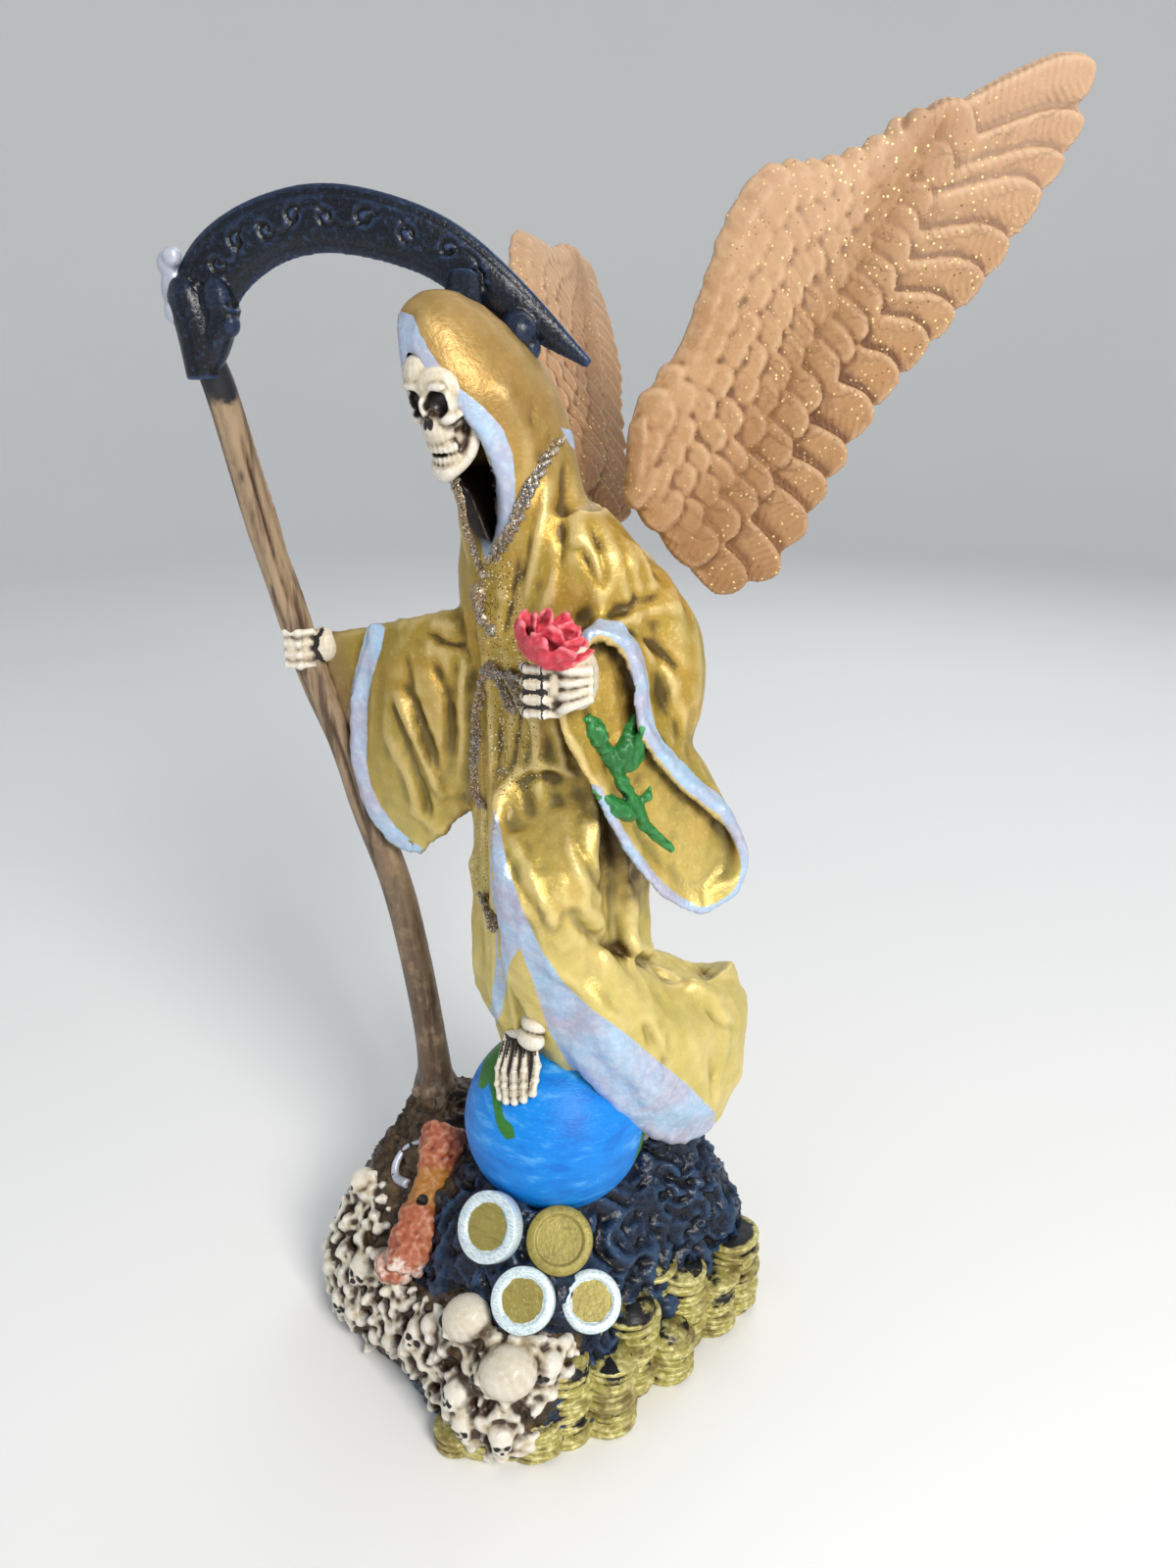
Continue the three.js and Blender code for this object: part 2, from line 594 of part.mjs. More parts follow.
// Wings. A wing's plan is drawn in hundredths of its length: its leading edge, the line where the
// small feathers end, and the tips of the flight feathers, each from the shoulder outward.
const leadPlan = [
  [-5, 10], [-4, 21], [3, 30.5], [7, 40.5], [10.5, 50.5], [15.5, 57], [23, 58], [30, 59],
  [38, 63], [46, 67.5],
];
const covertPlan = [
  [6, -4], [12.7, 4.8], [17.6, 10], [22, 19], [26.5, 26], [29.7, 32], [32.5, 38.5], [35.5, 46],
  [39.5, 54], [47.5, 67],
];
const tipPlan = [
  [11, -9], [21, -7], [28, 4], [34, 14], [41, 25], [49, 34], [56, 43], [63, 54], [68, 64],
  [69, 76.5],
];

function planCurve(points) {
  return smooth(points.map(([x, y]) => new THREE.Vector3(x, y, 0).multiplyScalar(wingLength / 100)));
}

// Each feather takes two rows of the solid: its quill, long and thick, and the groove beside it.
// Across the wing the skin steps down twice, at the ends of two rows of small feathers. Each step
// is [reach across the wing, share of the thickness]: 1 is the small feathers' end, 2 the tips.
const wingSteps = [
  [0, 0], [0.16, 0.5], [0.5, 0.52], [0.56, 0.4], [0.97, 0.42], [1.05, 0.26], [1.6, 0.22], [1.97, 0.1],
];
const grooveSetBack = 0.045;
const grooveThickness = 0.72;
const tipThinning = 0.45;

function wing({ root, out, up, bend }) {
  const normal = new THREE.Vector3().crossVectors(out, up).normalize();
  const [lead, covert, tips] = [leadPlan, covertPlan, tipPlan].map(planCurve);
  const rows = 2 * featherCount;
  const last = wingSteps.length - 1;
  const sides = 2 * last + 1;
  return shaped(sides, rows, (angle, share) => {
    const quill = Math.round(share * rows) % 2 === 1;
    const side = Math.round((((angle + 2 * Math.PI) % (2 * Math.PI)) / (2 * Math.PI)) * sides);
    const step = side <= last ? side : sides - side;
    const face = side <= last ? 1 : -1;
    const [reach, thick] = wingSteps[step];
    const far = quill ? reach : reach * (1 - grooveSetBack);
    const plan = far < 1
      ? lead.getPoint(share).lerp(covert.getPoint(share), far)
      : covert.getPoint(share).lerp(tips.getPoint(share), far - 1);
    const thin = (1 - tipThinning * share) * (quill ? 1 : grooveThickness);
    return root.clone()
      .addScaledVector(out, plan.x)
      .addScaledVector(up, plan.y)
      .addScaledVector(normal, face * thick * thin * wingThickness
        + bend * (plan.x / wingLength) ** 2 * wingLength);
  });
}

function direction(x, y, z) {
  return new THREE.Vector3(x, y, z).normalize();
}

const leftWingFrame = {
  root: at(33.5, 18.7, 245), out: direction(0.574, 0.819, 0), up: direction(0, 0, 1), bend: 0.04,
};

function turned(vector, axis, angle) {
  return vector.clone().applyAxisAngle(axis, angle);
}

// The right wing is swept further back, tipped outward and carried lower
const rightTip = -0.545;
const rightDrop = -0.285;
const rightSweep = direction(-0.264, 0.965, 0);
const rightRise = turned(direction(0, 0, 1), rightSweep, rightTip);
const rightAxis = new THREE.Vector3().crossVectors(rightSweep, rightRise);
const rightWingFrame = {
  root: at(-2.9, 18.2, 260.8),
  out: turned(rightSweep, rightAxis, rightDrop),
  up: turned(rightRise, rightAxis, rightDrop),
  bend: -0.34,
};

function figure() {
  const body = joined([
    robe(), bentLeg(), train(), upperArm(),
    hood().subtract(faceHollow()), leftSleeve.outer(0), rightSleeve.outer(0)])
    .subtract(robeOpening()).subtract(leftSleeve.cut).subtract(rightSleeve.cut);
  const wrists = [
    rod([at(36, -2, 218), at(44, -14, 220), leftHandSpot],
      [5, 4.4, 4.4].map((radius) => radius * stretch), 6, 2),
    rod([at(-20, -14, 213), at(-34, -20.5, 215), rightHandSpot],
      [6, 5.2, 4.4].map((radius) => radius * stretch), 6, 2),
  ];
  const hands = [
    hand(leftHandSpot, span(-7, -6.5, 1), direction(-0.11, -0.17, -1), span(0.5, 2.5, 0)),
    hand(rightHandSpot, span(-2.5, -5, 0), direction(0.18, 0, -1), span(-4, 1, 0)),
  ];
  const ground = [heap(), ball(globeCentre, round(globeRadius), 14, 8), hourglass(), ...spoils()];
  return joined([
    body, head(), ...wrists, ...hands, ...rose(), ...foot(), ...scythe(), ...ropes(), ...ground]);
}

// The back that a wing is set against, grown by the joint's gap
function seat() {
  return joined([robe(jointGap), hood(jointGap), upperArm(jointGap)]);
}

function mesh(name, shape, colour, roughness, metalness) {
  const { vertProperties, triVerts } = shape.getMesh();
  const geometry = new THREE.BufferGeometry();
  geometry.setAttribute("position", new THREE.BufferAttribute(vertProperties, 3));
  geometry.setIndex(new THREE.BufferAttribute(triVerts, 1));
  const material = new THREE.MeshStandardMaterial({ color: colour, roughness, metalness });
  const part = new THREE.Mesh(geometry, material);
  part.name = name;
  return part;
}

const model = new THREE.Group();
model.add(mesh("figure", figure(), 0xa98a4b, 0.45, 0.35));
model.add(mesh("left_wing", wing(leftWingFrame).subtract(seat()), 0xc79f7c, 0.7, 0));
model.add(mesh("right_wing", wing(rightWingFrame).subtract(seat()), 0xc79f7c, 0.7, 0));

export default model;
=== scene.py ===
import math
import random

import bmesh
import bpy
import numpy as np
from mathutils import Euler, Matrix, Vector, kdtree, noise
from mathutils.bvhtree import BVHTree


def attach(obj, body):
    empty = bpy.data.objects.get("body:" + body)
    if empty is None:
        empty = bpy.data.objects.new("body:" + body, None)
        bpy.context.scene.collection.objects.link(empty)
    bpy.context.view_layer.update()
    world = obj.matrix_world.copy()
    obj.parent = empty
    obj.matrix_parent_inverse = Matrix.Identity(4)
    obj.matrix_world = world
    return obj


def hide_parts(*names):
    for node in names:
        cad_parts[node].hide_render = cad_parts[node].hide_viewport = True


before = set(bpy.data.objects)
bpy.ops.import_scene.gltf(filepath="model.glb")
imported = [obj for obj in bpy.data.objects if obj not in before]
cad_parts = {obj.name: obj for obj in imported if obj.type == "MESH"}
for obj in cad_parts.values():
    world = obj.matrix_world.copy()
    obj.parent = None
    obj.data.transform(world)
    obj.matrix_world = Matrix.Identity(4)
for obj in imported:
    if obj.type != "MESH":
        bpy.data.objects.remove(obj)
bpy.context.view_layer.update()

# Camera
# The figure is seen from its front left, from a little above its head. Picture spots are given
# in a frame 1200 wide and 1600 high.
picture_wide, picture_high, focal, sensor = 1200, 1600, 1202, 36
camera_data = bpy.data.cameras.new("camera")
camera_data.sensor_width = sensor
camera_data.lens = sensor * focal / picture_high
camera_data.clip_start = 0.01
camera = bpy.data.objects.new("camera", camera_data)
camera.location = (0.23279, -0.20283, 0.28855)
camera.rotation_euler = (math.radians(70), 0, math.radians(45))
bpy.context.scene.collection.objects.link(camera)
bpy.context.scene.camera = camera
camera_turn = camera.rotation_euler.to_matrix()

# Floor and light
# A plain pale studio bowl of matte board: a floor that curves up into a wall all round. A key
# light, a weak fill and a back light make the soft studio light.
def finished(name, bm, material=None):
    """A named object in the scene from a bmesh, shaded smooth"""
    mesh = bpy.data.meshes.new(name)
    bm.to_mesh(mesh)
    bm.free()
    for face in mesh.polygons:
        face.use_smooth = True
    thing = bpy.data.objects.new(name, mesh)
    bpy.context.scene.collection.objects.link(thing)
    if material:
        mesh.materials.append(material)
    return thing


def node(tree, kind, inputs=None, **settings):
    """A shader node with its settings, and its inputs set or linked"""
    made = tree.nodes.new("ShaderNode" + kind)
    for key, value in settings.items():
        setattr(made, key, value)
    for key, value in (inputs or {}).items():
        if isinstance(value, bpy.types.NodeSocket):
            tree.links.new(value, made.inputs[key])
        else:
            made.inputs[key].default_value = value
    return made


def surface(name):
    """A new empty material, its node tree and its Object coordinates"""
    made = bpy.data.materials.new(name)
    made.use_nodes = True
    tree = made.node_tree
    tree.nodes.clear()
    return made, tree, node(tree, "TexCoord").outputs["Object"]


def shown(tree, shader):
    """Puts a shader on the material's surface"""
    tree.links.new(shader.outputs[0], node(tree, "OutputMaterial").inputs["Surface"])


pale, tree, spots = surface("pale_floor")
grain = node(tree, "TexNoise", {"Vector": spots, "Scale": 3.0})
tone = node(tree, "MapRange", {"Value": grain.outputs["Fac"], "To Min": 0.9, "To Max": 0.93})
shown(tree, node(tree, "BsdfPrincipled", {"Base Color": tone.outputs[0], "Roughness": 0.9}))

floor_flat, floor_curve, wall_top = 1.6, 0.7, 1.5
rise = bmesh.new()
row = [rise.verts.new((0, 0, 0)), rise.verts.new((floor_flat, 0, 0))]
for step in range(1, 9):
    turn = math.pi / 2 * step / 8
    row.append(rise.verts.new(
        (floor_flat + floor_curve * math.sin(turn), 0, floor_curve * (1 - math.cos(turn)))))
row.append(rise.verts.new((floor_flat + floor_curve, 0, wall_top)))
edges = [rise.edges.new(pair) for pair in zip(row, row[1:])]
bmesh.ops.spin(rise, geom=row + edges, axis=(0, 0, 1), cent=(0, 0, 0), angle=2 * math.pi,
               steps=64, use_merge=True)
bmesh.ops.remove_doubles(rise, verts=rise.verts, dist=1e-6)
bmesh.ops.recalc_face_normals(rise, faces=rise.faces)
finished("floor", rise, pale)

sky = bpy.data.worlds.new("sky")
sky.use_nodes = True
sky.node_tree.nodes["Background"].inputs["Color"].default_value = (0.9, 0.95, 1, 1)
sky.node_tree.nodes["Background"].inputs["Strength"].default_value = 0.44
bpy.context.scene.world = sky
bpy.context.scene.view_settings.view_transform = "Standard"

for name, spot, size, power, colour in [
        ("key", (0.85, -0.25, 0.75), 0.35, 10, (1, 0.96, 0.9)),
        ("fill", (-0.55, -0.95, 0.6), 0.8, 0.8, (0.85, 0.93, 1)),
        ("back", (-0.3, 0.9, 0.9), 0.8, 3, (0.95, 0.97, 1))]:
    light = bpy.data.lights.new(name, "AREA")
    light.size = size
    light.energy = power
    light.color = colour
    lamp = bpy.data.objects.new(name, light)
    lamp.location = spot
    lamp.rotation_euler = (Vector((0, 0, 0.17)) - lamp.location).to_track_quat("-Z", "Y").to_euler()
    bpy.context.scene.collection.objects.link(lamp)

# Robe and hood
# The robe, hood, sleeves and train are one body of cast resin under gold paint, with silver
# painted along every hem. Sizes here and below are in millimetres.
mm = 0.001


def smooth_path(points, shares, closed=False):
    """Spots on a smooth curve through points, at even shares from one point to the next"""
    points = np.asarray(points, float)
    count = len(points)
    shares = np.asarray(shares, float)
    if closed:
        place = (shares % 1.0) * count
        first = np.floor(place).astype(int)
        near = [points[(first + k - 1) % count] for k in range(4)]
    else:
        ends = np.vstack([2 * points[0] - points[1], points, 2 * points[-1] - points[-2]])
        place = np.clip(shares, 0, 1) * (count - 1)
        first = np.minimum(np.floor(place).astype(int), count - 2)
        near = [ends[first + k] for k in range(4)]
    f = (place - first)[..., None]
    a, b, c, d = near
    return 0.5 * (2 * b + (c - a) * f + (2 * a - 5 * b + 4 * c - d) * f ** 2
                  + (3 * b - a - 3 * c + d) * f ** 3)


def bent(place, sides, rows):
    """A closed tube: a grid whose spots go where place(angle, share of length) says"""
    bm = bmesh.new()
    bmesh.ops.create_grid(bm, x_segments=sides, y_segments=rows, size=1)
    flat = np.array([vert.co[:] for vert in bm.verts])
    spots = place(np.pi * (flat[:, 0] + 1), (flat[:, 1] + 1) / 2) * mm
    for vert, spot in zip(bm.verts, spots):
        vert.co = spot
    bmesh.ops.remove_doubles(bm, verts=bm.verts, dist=1e-7)
    bmesh.ops.holes_fill(bm, edges=[edge for edge in bm.edges if edge.is_boundary], sides=0)
    bmesh.ops.recalc_face_normals(bm, faces=bm.faces)
    return bm


def loft(sections, sides, rows, relief=None):
    """A closed tube through oval sections [centre, half axis, half axis]"""
    centres, wides, talls = [[row[k] for row in sections] for k in range(3)]

    def place(angle, share):
        swell = relief(angle, share)[:, None] if relief else 1
        return (smooth_path(centres, share)
                + smooth_path(wides, share) * np.cos(angle)[:, None] * swell
                + smooth_path(talls, share) * np.sin(angle)[:, None] * swell)
    return bent(place, sides, rows)


def upright(sections, sides, rows, relief=None):
    """A loft through level ovals [height, x, y, half width, half depth]"""
    return loft([[(x, y, z), (wide, 0, 0), (0, deep, 0)] for z, x, y, wide, deep in sections],
                sides, rows, relief)


def rod(points, radii, sides=12, rows=24):
    """A round rod along a smooth path, with a radius at each of its points"""
    def place(angle, share):
        step = 1e-3
        path = smooth_path(points, share)
        along = smooth_path(points, share + step) - smooth_path(points, share - step)
        along /= np.linalg.norm(along, axis=1)[:, None]
        side = np.cross(along, (0.31, 0.83, 0.46))
        side /= np.linalg.norm(side, axis=1)[:, None]
        other = np.cross(along, side)
        radius = smooth_path([[r] for r in radii], share)
        return path + radius * (np.cos(angle)[:, None] * side + np.sin(angle)[:, None] * other)
    return bent(place, sides, rows)


def sheet(one, other, thick, rows=24):
    """A thin slab stretched between two lines of points"""
    def place(angle, share):
        across = 0.5 - 0.5 * np.cos(angle)
        a, b = smooth_path(one, share), smooth_path(other, share)
        step = smooth_path(one, share + 0.01) - smooth_path(one, share - 0.01)
        off = np.cross(step, b - a)
        off /= np.maximum(np.linalg.norm(off, axis=1), 1e-6)[:, None]
        return a + (b - a) * across[:, None] + off * (np.sin(angle) * thick / 2)[:, None]
    return bent(place, 24, rows)


def joined(shapes):
    """One bmesh that holds all the shapes"""
    whole = bmesh.new()
    for shape in shapes:
        mesh = bpy.data.meshes.new("shape")
        shape.to_mesh(mesh)
        shape.free()
        whole.from_mesh(mesh)
        bpy.data.meshes.remove(mesh)
    return whole


def applied(thing):
    """The object with its modifiers worked into its mesh"""
    ready = thing.evaluated_get(bpy.context.evaluated_depsgraph_get())
    mesh = bpy.data.meshes.new_from_object(ready)
    thing.modifiers.clear()
    thing.data = mesh
    for face in mesh.polygons:
        face.use_smooth = True
    return thing


def cast(name, shapes, grain_size, rounding, cutters=()):
    """One closed casting from shapes that overlap, less what the cutters take away"""
    thing = finished(name, joined(shapes))

    def melted(piece):
        melt = piece.modifiers.new("melt", "REMESH")
        melt.mode = "VOXEL"
        melt.voxel_size = grain_size * mm
        melt.use_smooth_shade = True
        return applied(piece)
    melted(thing)
    if cutters:
        for cutter in cutters:
            tool = melted(finished("cutter", cutter))
            cut = thing.modifiers.new("cut", "BOOLEAN")
            cut.operation = "DIFFERENCE"
            cut.solver = "EXACT"
            cut.object = tool
            applied(thing)
            bpy.data.objects.remove(tool)
        melted(thing)
    if rounding:
        soften = thing.modifiers.new("soften", "SMOOTH")
        soften.factor = 0.5
        soften.iterations = rounding
        applied(thing)
    return thing


def spots_of(thing, kind="co"):
    """The places, or the normals, of a mesh's vertices"""
    values = np.empty(3 * len(thing.data.vertices))
    thing.data.vertices.foreach_get(kind, values)
    return values.reshape(-1, 3)


def shifted(thing, spots):
    """Moves the mesh's vertices to new spots, given in millimetres"""
    thing.data.vertices.foreach_set("co", (spots * mm).ravel())
    thing.data.update()


def marked(thing, name, values):
    """A number at every vertex, for the paint to read"""
    made = thing.data.attributes.new(name, "FLOAT", "POINT")
    made.data.foreach_set("value", np.asarray(values, float))


def nearest(spots, path, reach):
    """For spots within reach of a path: which they are, how far off, and their share along it"""
    near = np.nonzero(np.all((spots > path.min(0) - reach) & (spots < path.max(0) + reach), 1))[0]
    gap = np.linalg.norm(spots[near][:, None, :] - path[None], axis=2)
    best = gap.argmin(1)
    return near, gap[np.arange(len(near)), best], best / (len(path) - 1)


def dense(points, step):
    """A smooth curve through points with a spot about every step"""
    length = np.sum(np.linalg.norm(np.diff(np.asarray(points, float), axis=0), axis=1))
    return smooth_path(points, np.linspace(0, 1, max(12, int(length / step))))


def carved(thing, lines):
    """Soft ridges and grooves, each [points, height, width], that fade out at their ends"""
    spots, normals = spots_of(thing) / mm, spots_of(thing, "normal")
    lift = np.zeros(len(spots))
    for points, height, width in lines:
        if len(points) < 2:
            continue
        near, gap, share = nearest(spots, dense(points, width * 0.35), 3 * width)
        fade = np.clip(np.sin(np.pi * share) * 1.8, 0, 1)
        lift[near] += height * fade * np.exp(-(gap / width) ** 2)
    shifted(thing, spots + normals * lift[:, None])


def band(thing, lines):
    """How far every vertex is from the nearest line [points, width], in widths, up to 3"""
    spots = spots_of(thing) / mm
    least = np.full(len(spots), 3.0)
    for points, width in lines:
        if len(points) < 2:
            continue
        near, gap, _ = nearest(spots, dense(points, 0.8), 3 * width)
        least[near] = np.minimum(least[near], gap / width)
    return least


def skin_of(thing):
    """A mesh's skin, for rays to meet"""
    return BVHTree.FromObject(thing, bpy.context.evaluated_depsgraph_get())


def marked_wash_and_shade(thing, reach, rays, rounds, scale):
    """Marks hollows for darkening by brown paint and painted shade: one mark by the skin's own bend, shelter
    by what stands round
    """
    spots, normals = spots_of(thing) / mm, spots_of(thing, "normal")
    pairs = np.empty(2 * len(thing.data.edges), int)
    thing.data.edges.foreach_get("vertices", pairs)
    a, b = pairs.reshape(-1, 2).T
    count = len(spots)
    share = np.maximum(np.bincount(a, minlength=count) + np.bincount(b, minlength=count), 1)

    def evened(values):
        total = np.bincount(a, values[b], count) + np.bincount(b, values[a], count)
        return 0.5 * values + 0.5 * total / share
    soft = spots.copy()
    for _ in range(rounds):
        soft = np.stack([evened(soft[:, k]) for k in range(3)], 1)
    hollow = evened(evened(np.einsum("ij,ij->i", soft - spots, normals) / scale))
    marked(thing, "wash_and_shade", np.clip(hollow, -1, 1))

    skin = skin_of(thing)
    side = np.cross(normals, (0.36, 0.48, 0.8))
    side /= np.maximum(np.linalg.norm(side, axis=1), 1e-6)[:, None]
    other = np.cross(normals, side)
    starts = [Vector(spot) for spot in (spots + normals * 0.05) * mm]
    blocked = np.zeros(count)
    for k in range(rays):
        out = math.sqrt((k + 0.5) / rays)
        turn = k * 2.39996
        ways = (normals * math.sqrt(1 - out * out) + side * (out * math.cos(turn))
                + other * (out * math.sin(turn)))
        for i, way in enumerate(ways):
            if skin.ray_cast(starts[i], Vector(way), reach * mm)[0]:
                blocked[i] += 1
    marked(thing, "shelter", evened(evened(blocked / rays)))


def picture_ray(x, y):
    """The way from the camera through a spot of the picture"""
    way = Vector(((x - picture_wide / 2) / focal, (picture_high / 2 - y) / focal, -1))
    return (camera_turn @ way).normalized()


def picked(tree, pixels):
    """Spots on a skin, in millimetres, where rays through picture spots meet it"""
    found = []
    for x, y in pixels:
        hit = tree.ray_cast(camera.location, picture_ray(x, y))[0]
        if hit:
            found.append(np.array(hit) / mm)
    return found


def met(pixels, spot, normal):
    """Where rays through picture spots meet a flat plane, in millimetres"""
    eye = np.array(camera.location) / mm
    ways = [np.array(picture_ray(x, y)) for x, y in pixels]
    return [eye + way * np.dot(np.array(spot) - eye, normal) / np.dot(way, normal) for way in ways]


robe_x, robe_y, far_off = 15, 2, 400


def sided(tree, turn, spots):
    """Spots on a skin seen level from a side: turn in degrees from the front, (across, height)"""
    turn = math.radians(turn)
    back = Vector((math.sin(turn), -math.cos(turn), 0))
    across = Vector((math.cos(turn), math.sin(turn), 0))
    found = []
    for x, z in spots:
        start = (back * far_off + across * x + Vector((robe_x, robe_y, z))) * mm
        hit = tree.ray_cast(start, -back)[0]
        if hit:
            found.append(np.array(hit) / mm)
    return found


def inside_of(ring, here):
    """How far inside a closed outline flat spots lie: above 0 is inside"""
    start = np.asarray(ring, float)
    end = np.roll(start, -1, 0)
    run = end - start
    away = here[:, None] - start[None]
    share = np.clip(np.einsum("ijk,jk->ij", away, run) / np.sum(run * run, 1), 0, 1)
    gap = np.linalg.norm(away - share[..., None] * run[None], axis=2).min(1)
    over = (start[None, :, 1] > here[:, None, 1]) != (end[None, :, 1] > here[:, None, 1])
    slope = run[:, 0] / np.where(run[:, 1] == 0, 1, run[:, 1])
    odd = np.sum(over & (here[:, None, 0] < start[:, 0] + away[..., 1] * slope), 1) % 2 == 1
    return np.where(odd, gap, -gap)


def patch(thing, outlines):
    """How far inside painted outlines each vertex lies, in picture spots: above 0 is inside"""
    spots = spots_of(thing)
    eye = np.array(camera.location)
    local = (spots - eye) @ np.array(camera_turn)
    seen = np.stack([picture_wide / 2 - focal * local[:, 0] / local[:, 2],
                     picture_high / 2 + focal * local[:, 1] / local[:, 2]], 1)
    facing = np.einsum("ij,ij->i", spots_of(thing, "normal"), spots - eye) < 0
    most = np.full(len(spots), -20.0)
    skin = skin_of(thing)
    for outline in outlines:
        low, high = np.min(outline, 0) - 15, np.max(outline, 0) + 15
        near = np.nonzero(facing & np.all((seen > low) & (seen < high), 1))[0]
        for i, value in zip(near, inside_of(outline, seen[near])):
            way = Vector(spots[i] - eye)
            hit = skin.ray_cast(camera.location, way.normalized())[3]
            if value > most[i] and hit and hit > way.length - 2 * mm:
                most[i] = value
    return most


robe_sections = [
    (66, 14, 20, 20, 18), (84, 15, 17, 23, 20), (100, 17, 11, 27, 22), (118, 15.5, 5, 27.5, 22),
    (134, 15, 4.5, 27, 21.5), (155, 15, 4.5, 26.5, 21), (176, 15, 4, 26, 20.5),
    (192, 15, 3, 25, 19.5), (207, 15, 2, 23, 18), (220, 15, 1, 26, 18), (233, 16, 0.5, 29, 17.5),
    (244, 16.5, -0.5, 28, 16), (254, 15, -3, 20, 14)]
hood_sections = [
    (236, 15.5, -1, 24, 15.5), (246, 15, -3, 22.5, 15), (255, 13.5, -5.5, 16.5, 15.5),
    (263, 12, -8.5, 14.5, 18), (272, 11, -12, 14.5, 20.5), (282, 10, -15.5, 14, 19.5),
    (291, 8.5, -19, 11, 16.5), (298, 7, -22.5, 7.5, 12), (302.5, 6.5, -23, 2, 5)]
leg_sections = [
    [(17, -2, 192), (15, 0, 3), (0, 9, 8)], [(30, -15, 182), (13, 7, 0), (-5, 8, 10)],
    [(34, -19, 170), (11, 8, 0), (-6, 8, 8)], [(31, -15, 150), (11, 8, 0), (-6, 9, 0)],
    [(27, -9, 128), (12, 8, 0), (-7, 9, 0)], [(24, -4, 110), (12, 8, 0), (-6, 8, 0)]]
train_sections = [
    [(25, -9, 144), (7, -8, 2), (3, 3, 24)], [(36, -3, 122), (10, -7, 2), (2, 3, 22)],
    [(42, 12, 102), (11, -4, 0), (1, 3, 23)], [(46, 28, 95), (9, -1, 0), (0, 3, 25)],
    [(44, 43, 97), (6, 4, 0), (-2, 3, 22)], [(30, 44, 97), (5, 8, 0), (-2, 3, 16)],
    [(12, 33, 100), (2, 9, 0), (-2, 1, 15)]]
train_fill_sections = [
    [(26, 14, 126), (14, 0, 0), (0, 12, 0)], [(30, 24, 116), (17, 0, 0), (0, 17, 0)],
    [(30, 27, 98), (17, 0, 0), (0, 18, 0)], [(29, 26, 82), (16, 0, 0), (0, 16, 0)]]
upper_arm_sections = [
    [(28, 3, 249), (10, 2, -6), (-1, 9, 0)], [(33, 9, 240), (11, 3, -3), (-3, 11, 0)],
    [(38, 15, 224), (11, 4, 0), (-4, 11, 0)], [(39, 16.5, 208), (11, 4, 0), (-4, 11, 0)],
    [(39, 15, 192), (9, 3, 0), (-3, 9, 0)]]

# The left sleeve's mouth is flat, and its rim is given by picture spots on that flat
left_mouth_spot, left_mouth_normal = (51.7, 0, 189.5), (0.92, -0.39, 0.04)
left_rim = [
    (604, 638), (640, 652), (655, 690), (662, 740), (698, 790), (745, 832), (764, 878), (747, 917),
    (711, 932), (673, 911), (638, 868), (611, 822), (588, 774), (569, 731), (578, 678)]
left_mouth = met(left_rim, left_mouth_spot, left_mouth_normal)
right_mouth = [
    (-30.5, -21, 220.3), (-30.9, -22.5, 213.7), (-32.6, -25, 203), (-33, -27, 191),
    (-32.8, -26.5, 178.7), (-29.8, -24, 168.4), (-26, -20.5, 159.8), (-20.4, -16.5, 154),
    (-26, -14, 159), (-35, -16, 170), (-41, -19, 186), (-43, -21.5, 203), (-38, -21, 216)]


def sleeve(mouth, shoulder, half_depth, half_height, bulge, wall, hollow_deep):
    """A bell sleeve from an oval at the shoulder to its mouth, and the cutter of its hollow"""
    middle = np.mean(mouth, axis=0)
    run = middle - shoulder
    length = np.linalg.norm(run)

    def skin(angle, share, inset):
        turn = 0.25 - angle / (2 * np.pi)
        rim = smooth_path(mouth, turn, closed=True)
        along = smooth_path(mouth, turn + 0.02, True) - smooth_path(mouth, turn - 0.02, True)
        inward = np.cross(along, run)
        inward /= np.linalg.norm(inward, axis=1)[:, None]
        inward *= np.sign(np.sum(inward * (middle - rim), axis=1))[:, None]
        rim = rim + inset * inward
        root = (np.asarray(shoulder, float) + np.outer(np.cos(angle), half_depth)
                + np.outer(np.sin(angle), (0, 0, half_height)))
        spot = root + (rim - root) * share[:, None]
        return spot + np.outer(np.sin(np.pi * np.minimum(1, share)), bulge)

    outer = bent(lambda angle, share: skin(angle, share, 0), 96, 40)
    hollow = bent(lambda angle, share: skin(
        angle, 1 + (share * 1.5 - 1) * hollow_deep / length, wall), 64, 6)
    return outer, hollow


def rim_bead(mouth, radius):
    """A round bead that runs just inside a sleeve's rim"""
    middle = np.mean(mouth, axis=0)
    ring = [spot + (middle - spot) / np.linalg.norm(middle - spot) * radius for spot in mouth]
    return rod(ring + ring[:1], [radius] * (len(ring) + 1), 12, 160)


left_sleeve, left_hollow = sleeve(
    left_mouth, shoulder=(30, 7, 208), half_depth=(4, 13, 0), half_height=31,
    bulge=(1.5, 4, 2), wall=3.2, hollow_deep=4.5)
right_sleeve, right_hollow = sleeve(
    right_mouth, shoulder=(2, -2, 204), half_depth=(-1, -11, 0), half_height=25,
    bulge=(0, -2.5, 0), wall=3, hollow_deep=5)
right_web = sheet(
    [(-31, -20, 219.5), (-33.5, -21, 208), (-35, -22.5, 195), (-35, -22.5, 182), (-32, -20, 168),
     (-28, -16, 160)],
    [(-45.5, -29.5, 216.5), (-45, -28, 205), (-43.8, -25.6, 190), (-42, -23, 178), (-39.5, -21, 166),
     (-36, -18, 156)], 2.4)
right_cuff = sheet(right_mouth[:8], met(
    [(377, 636), (372, 660), (362, 695), (357, 735), (357, 775), (363, 808), (378, 838), (405, 866)],
    (-39, -29, 190), (0.707, -0.707, 0)), 2.4)

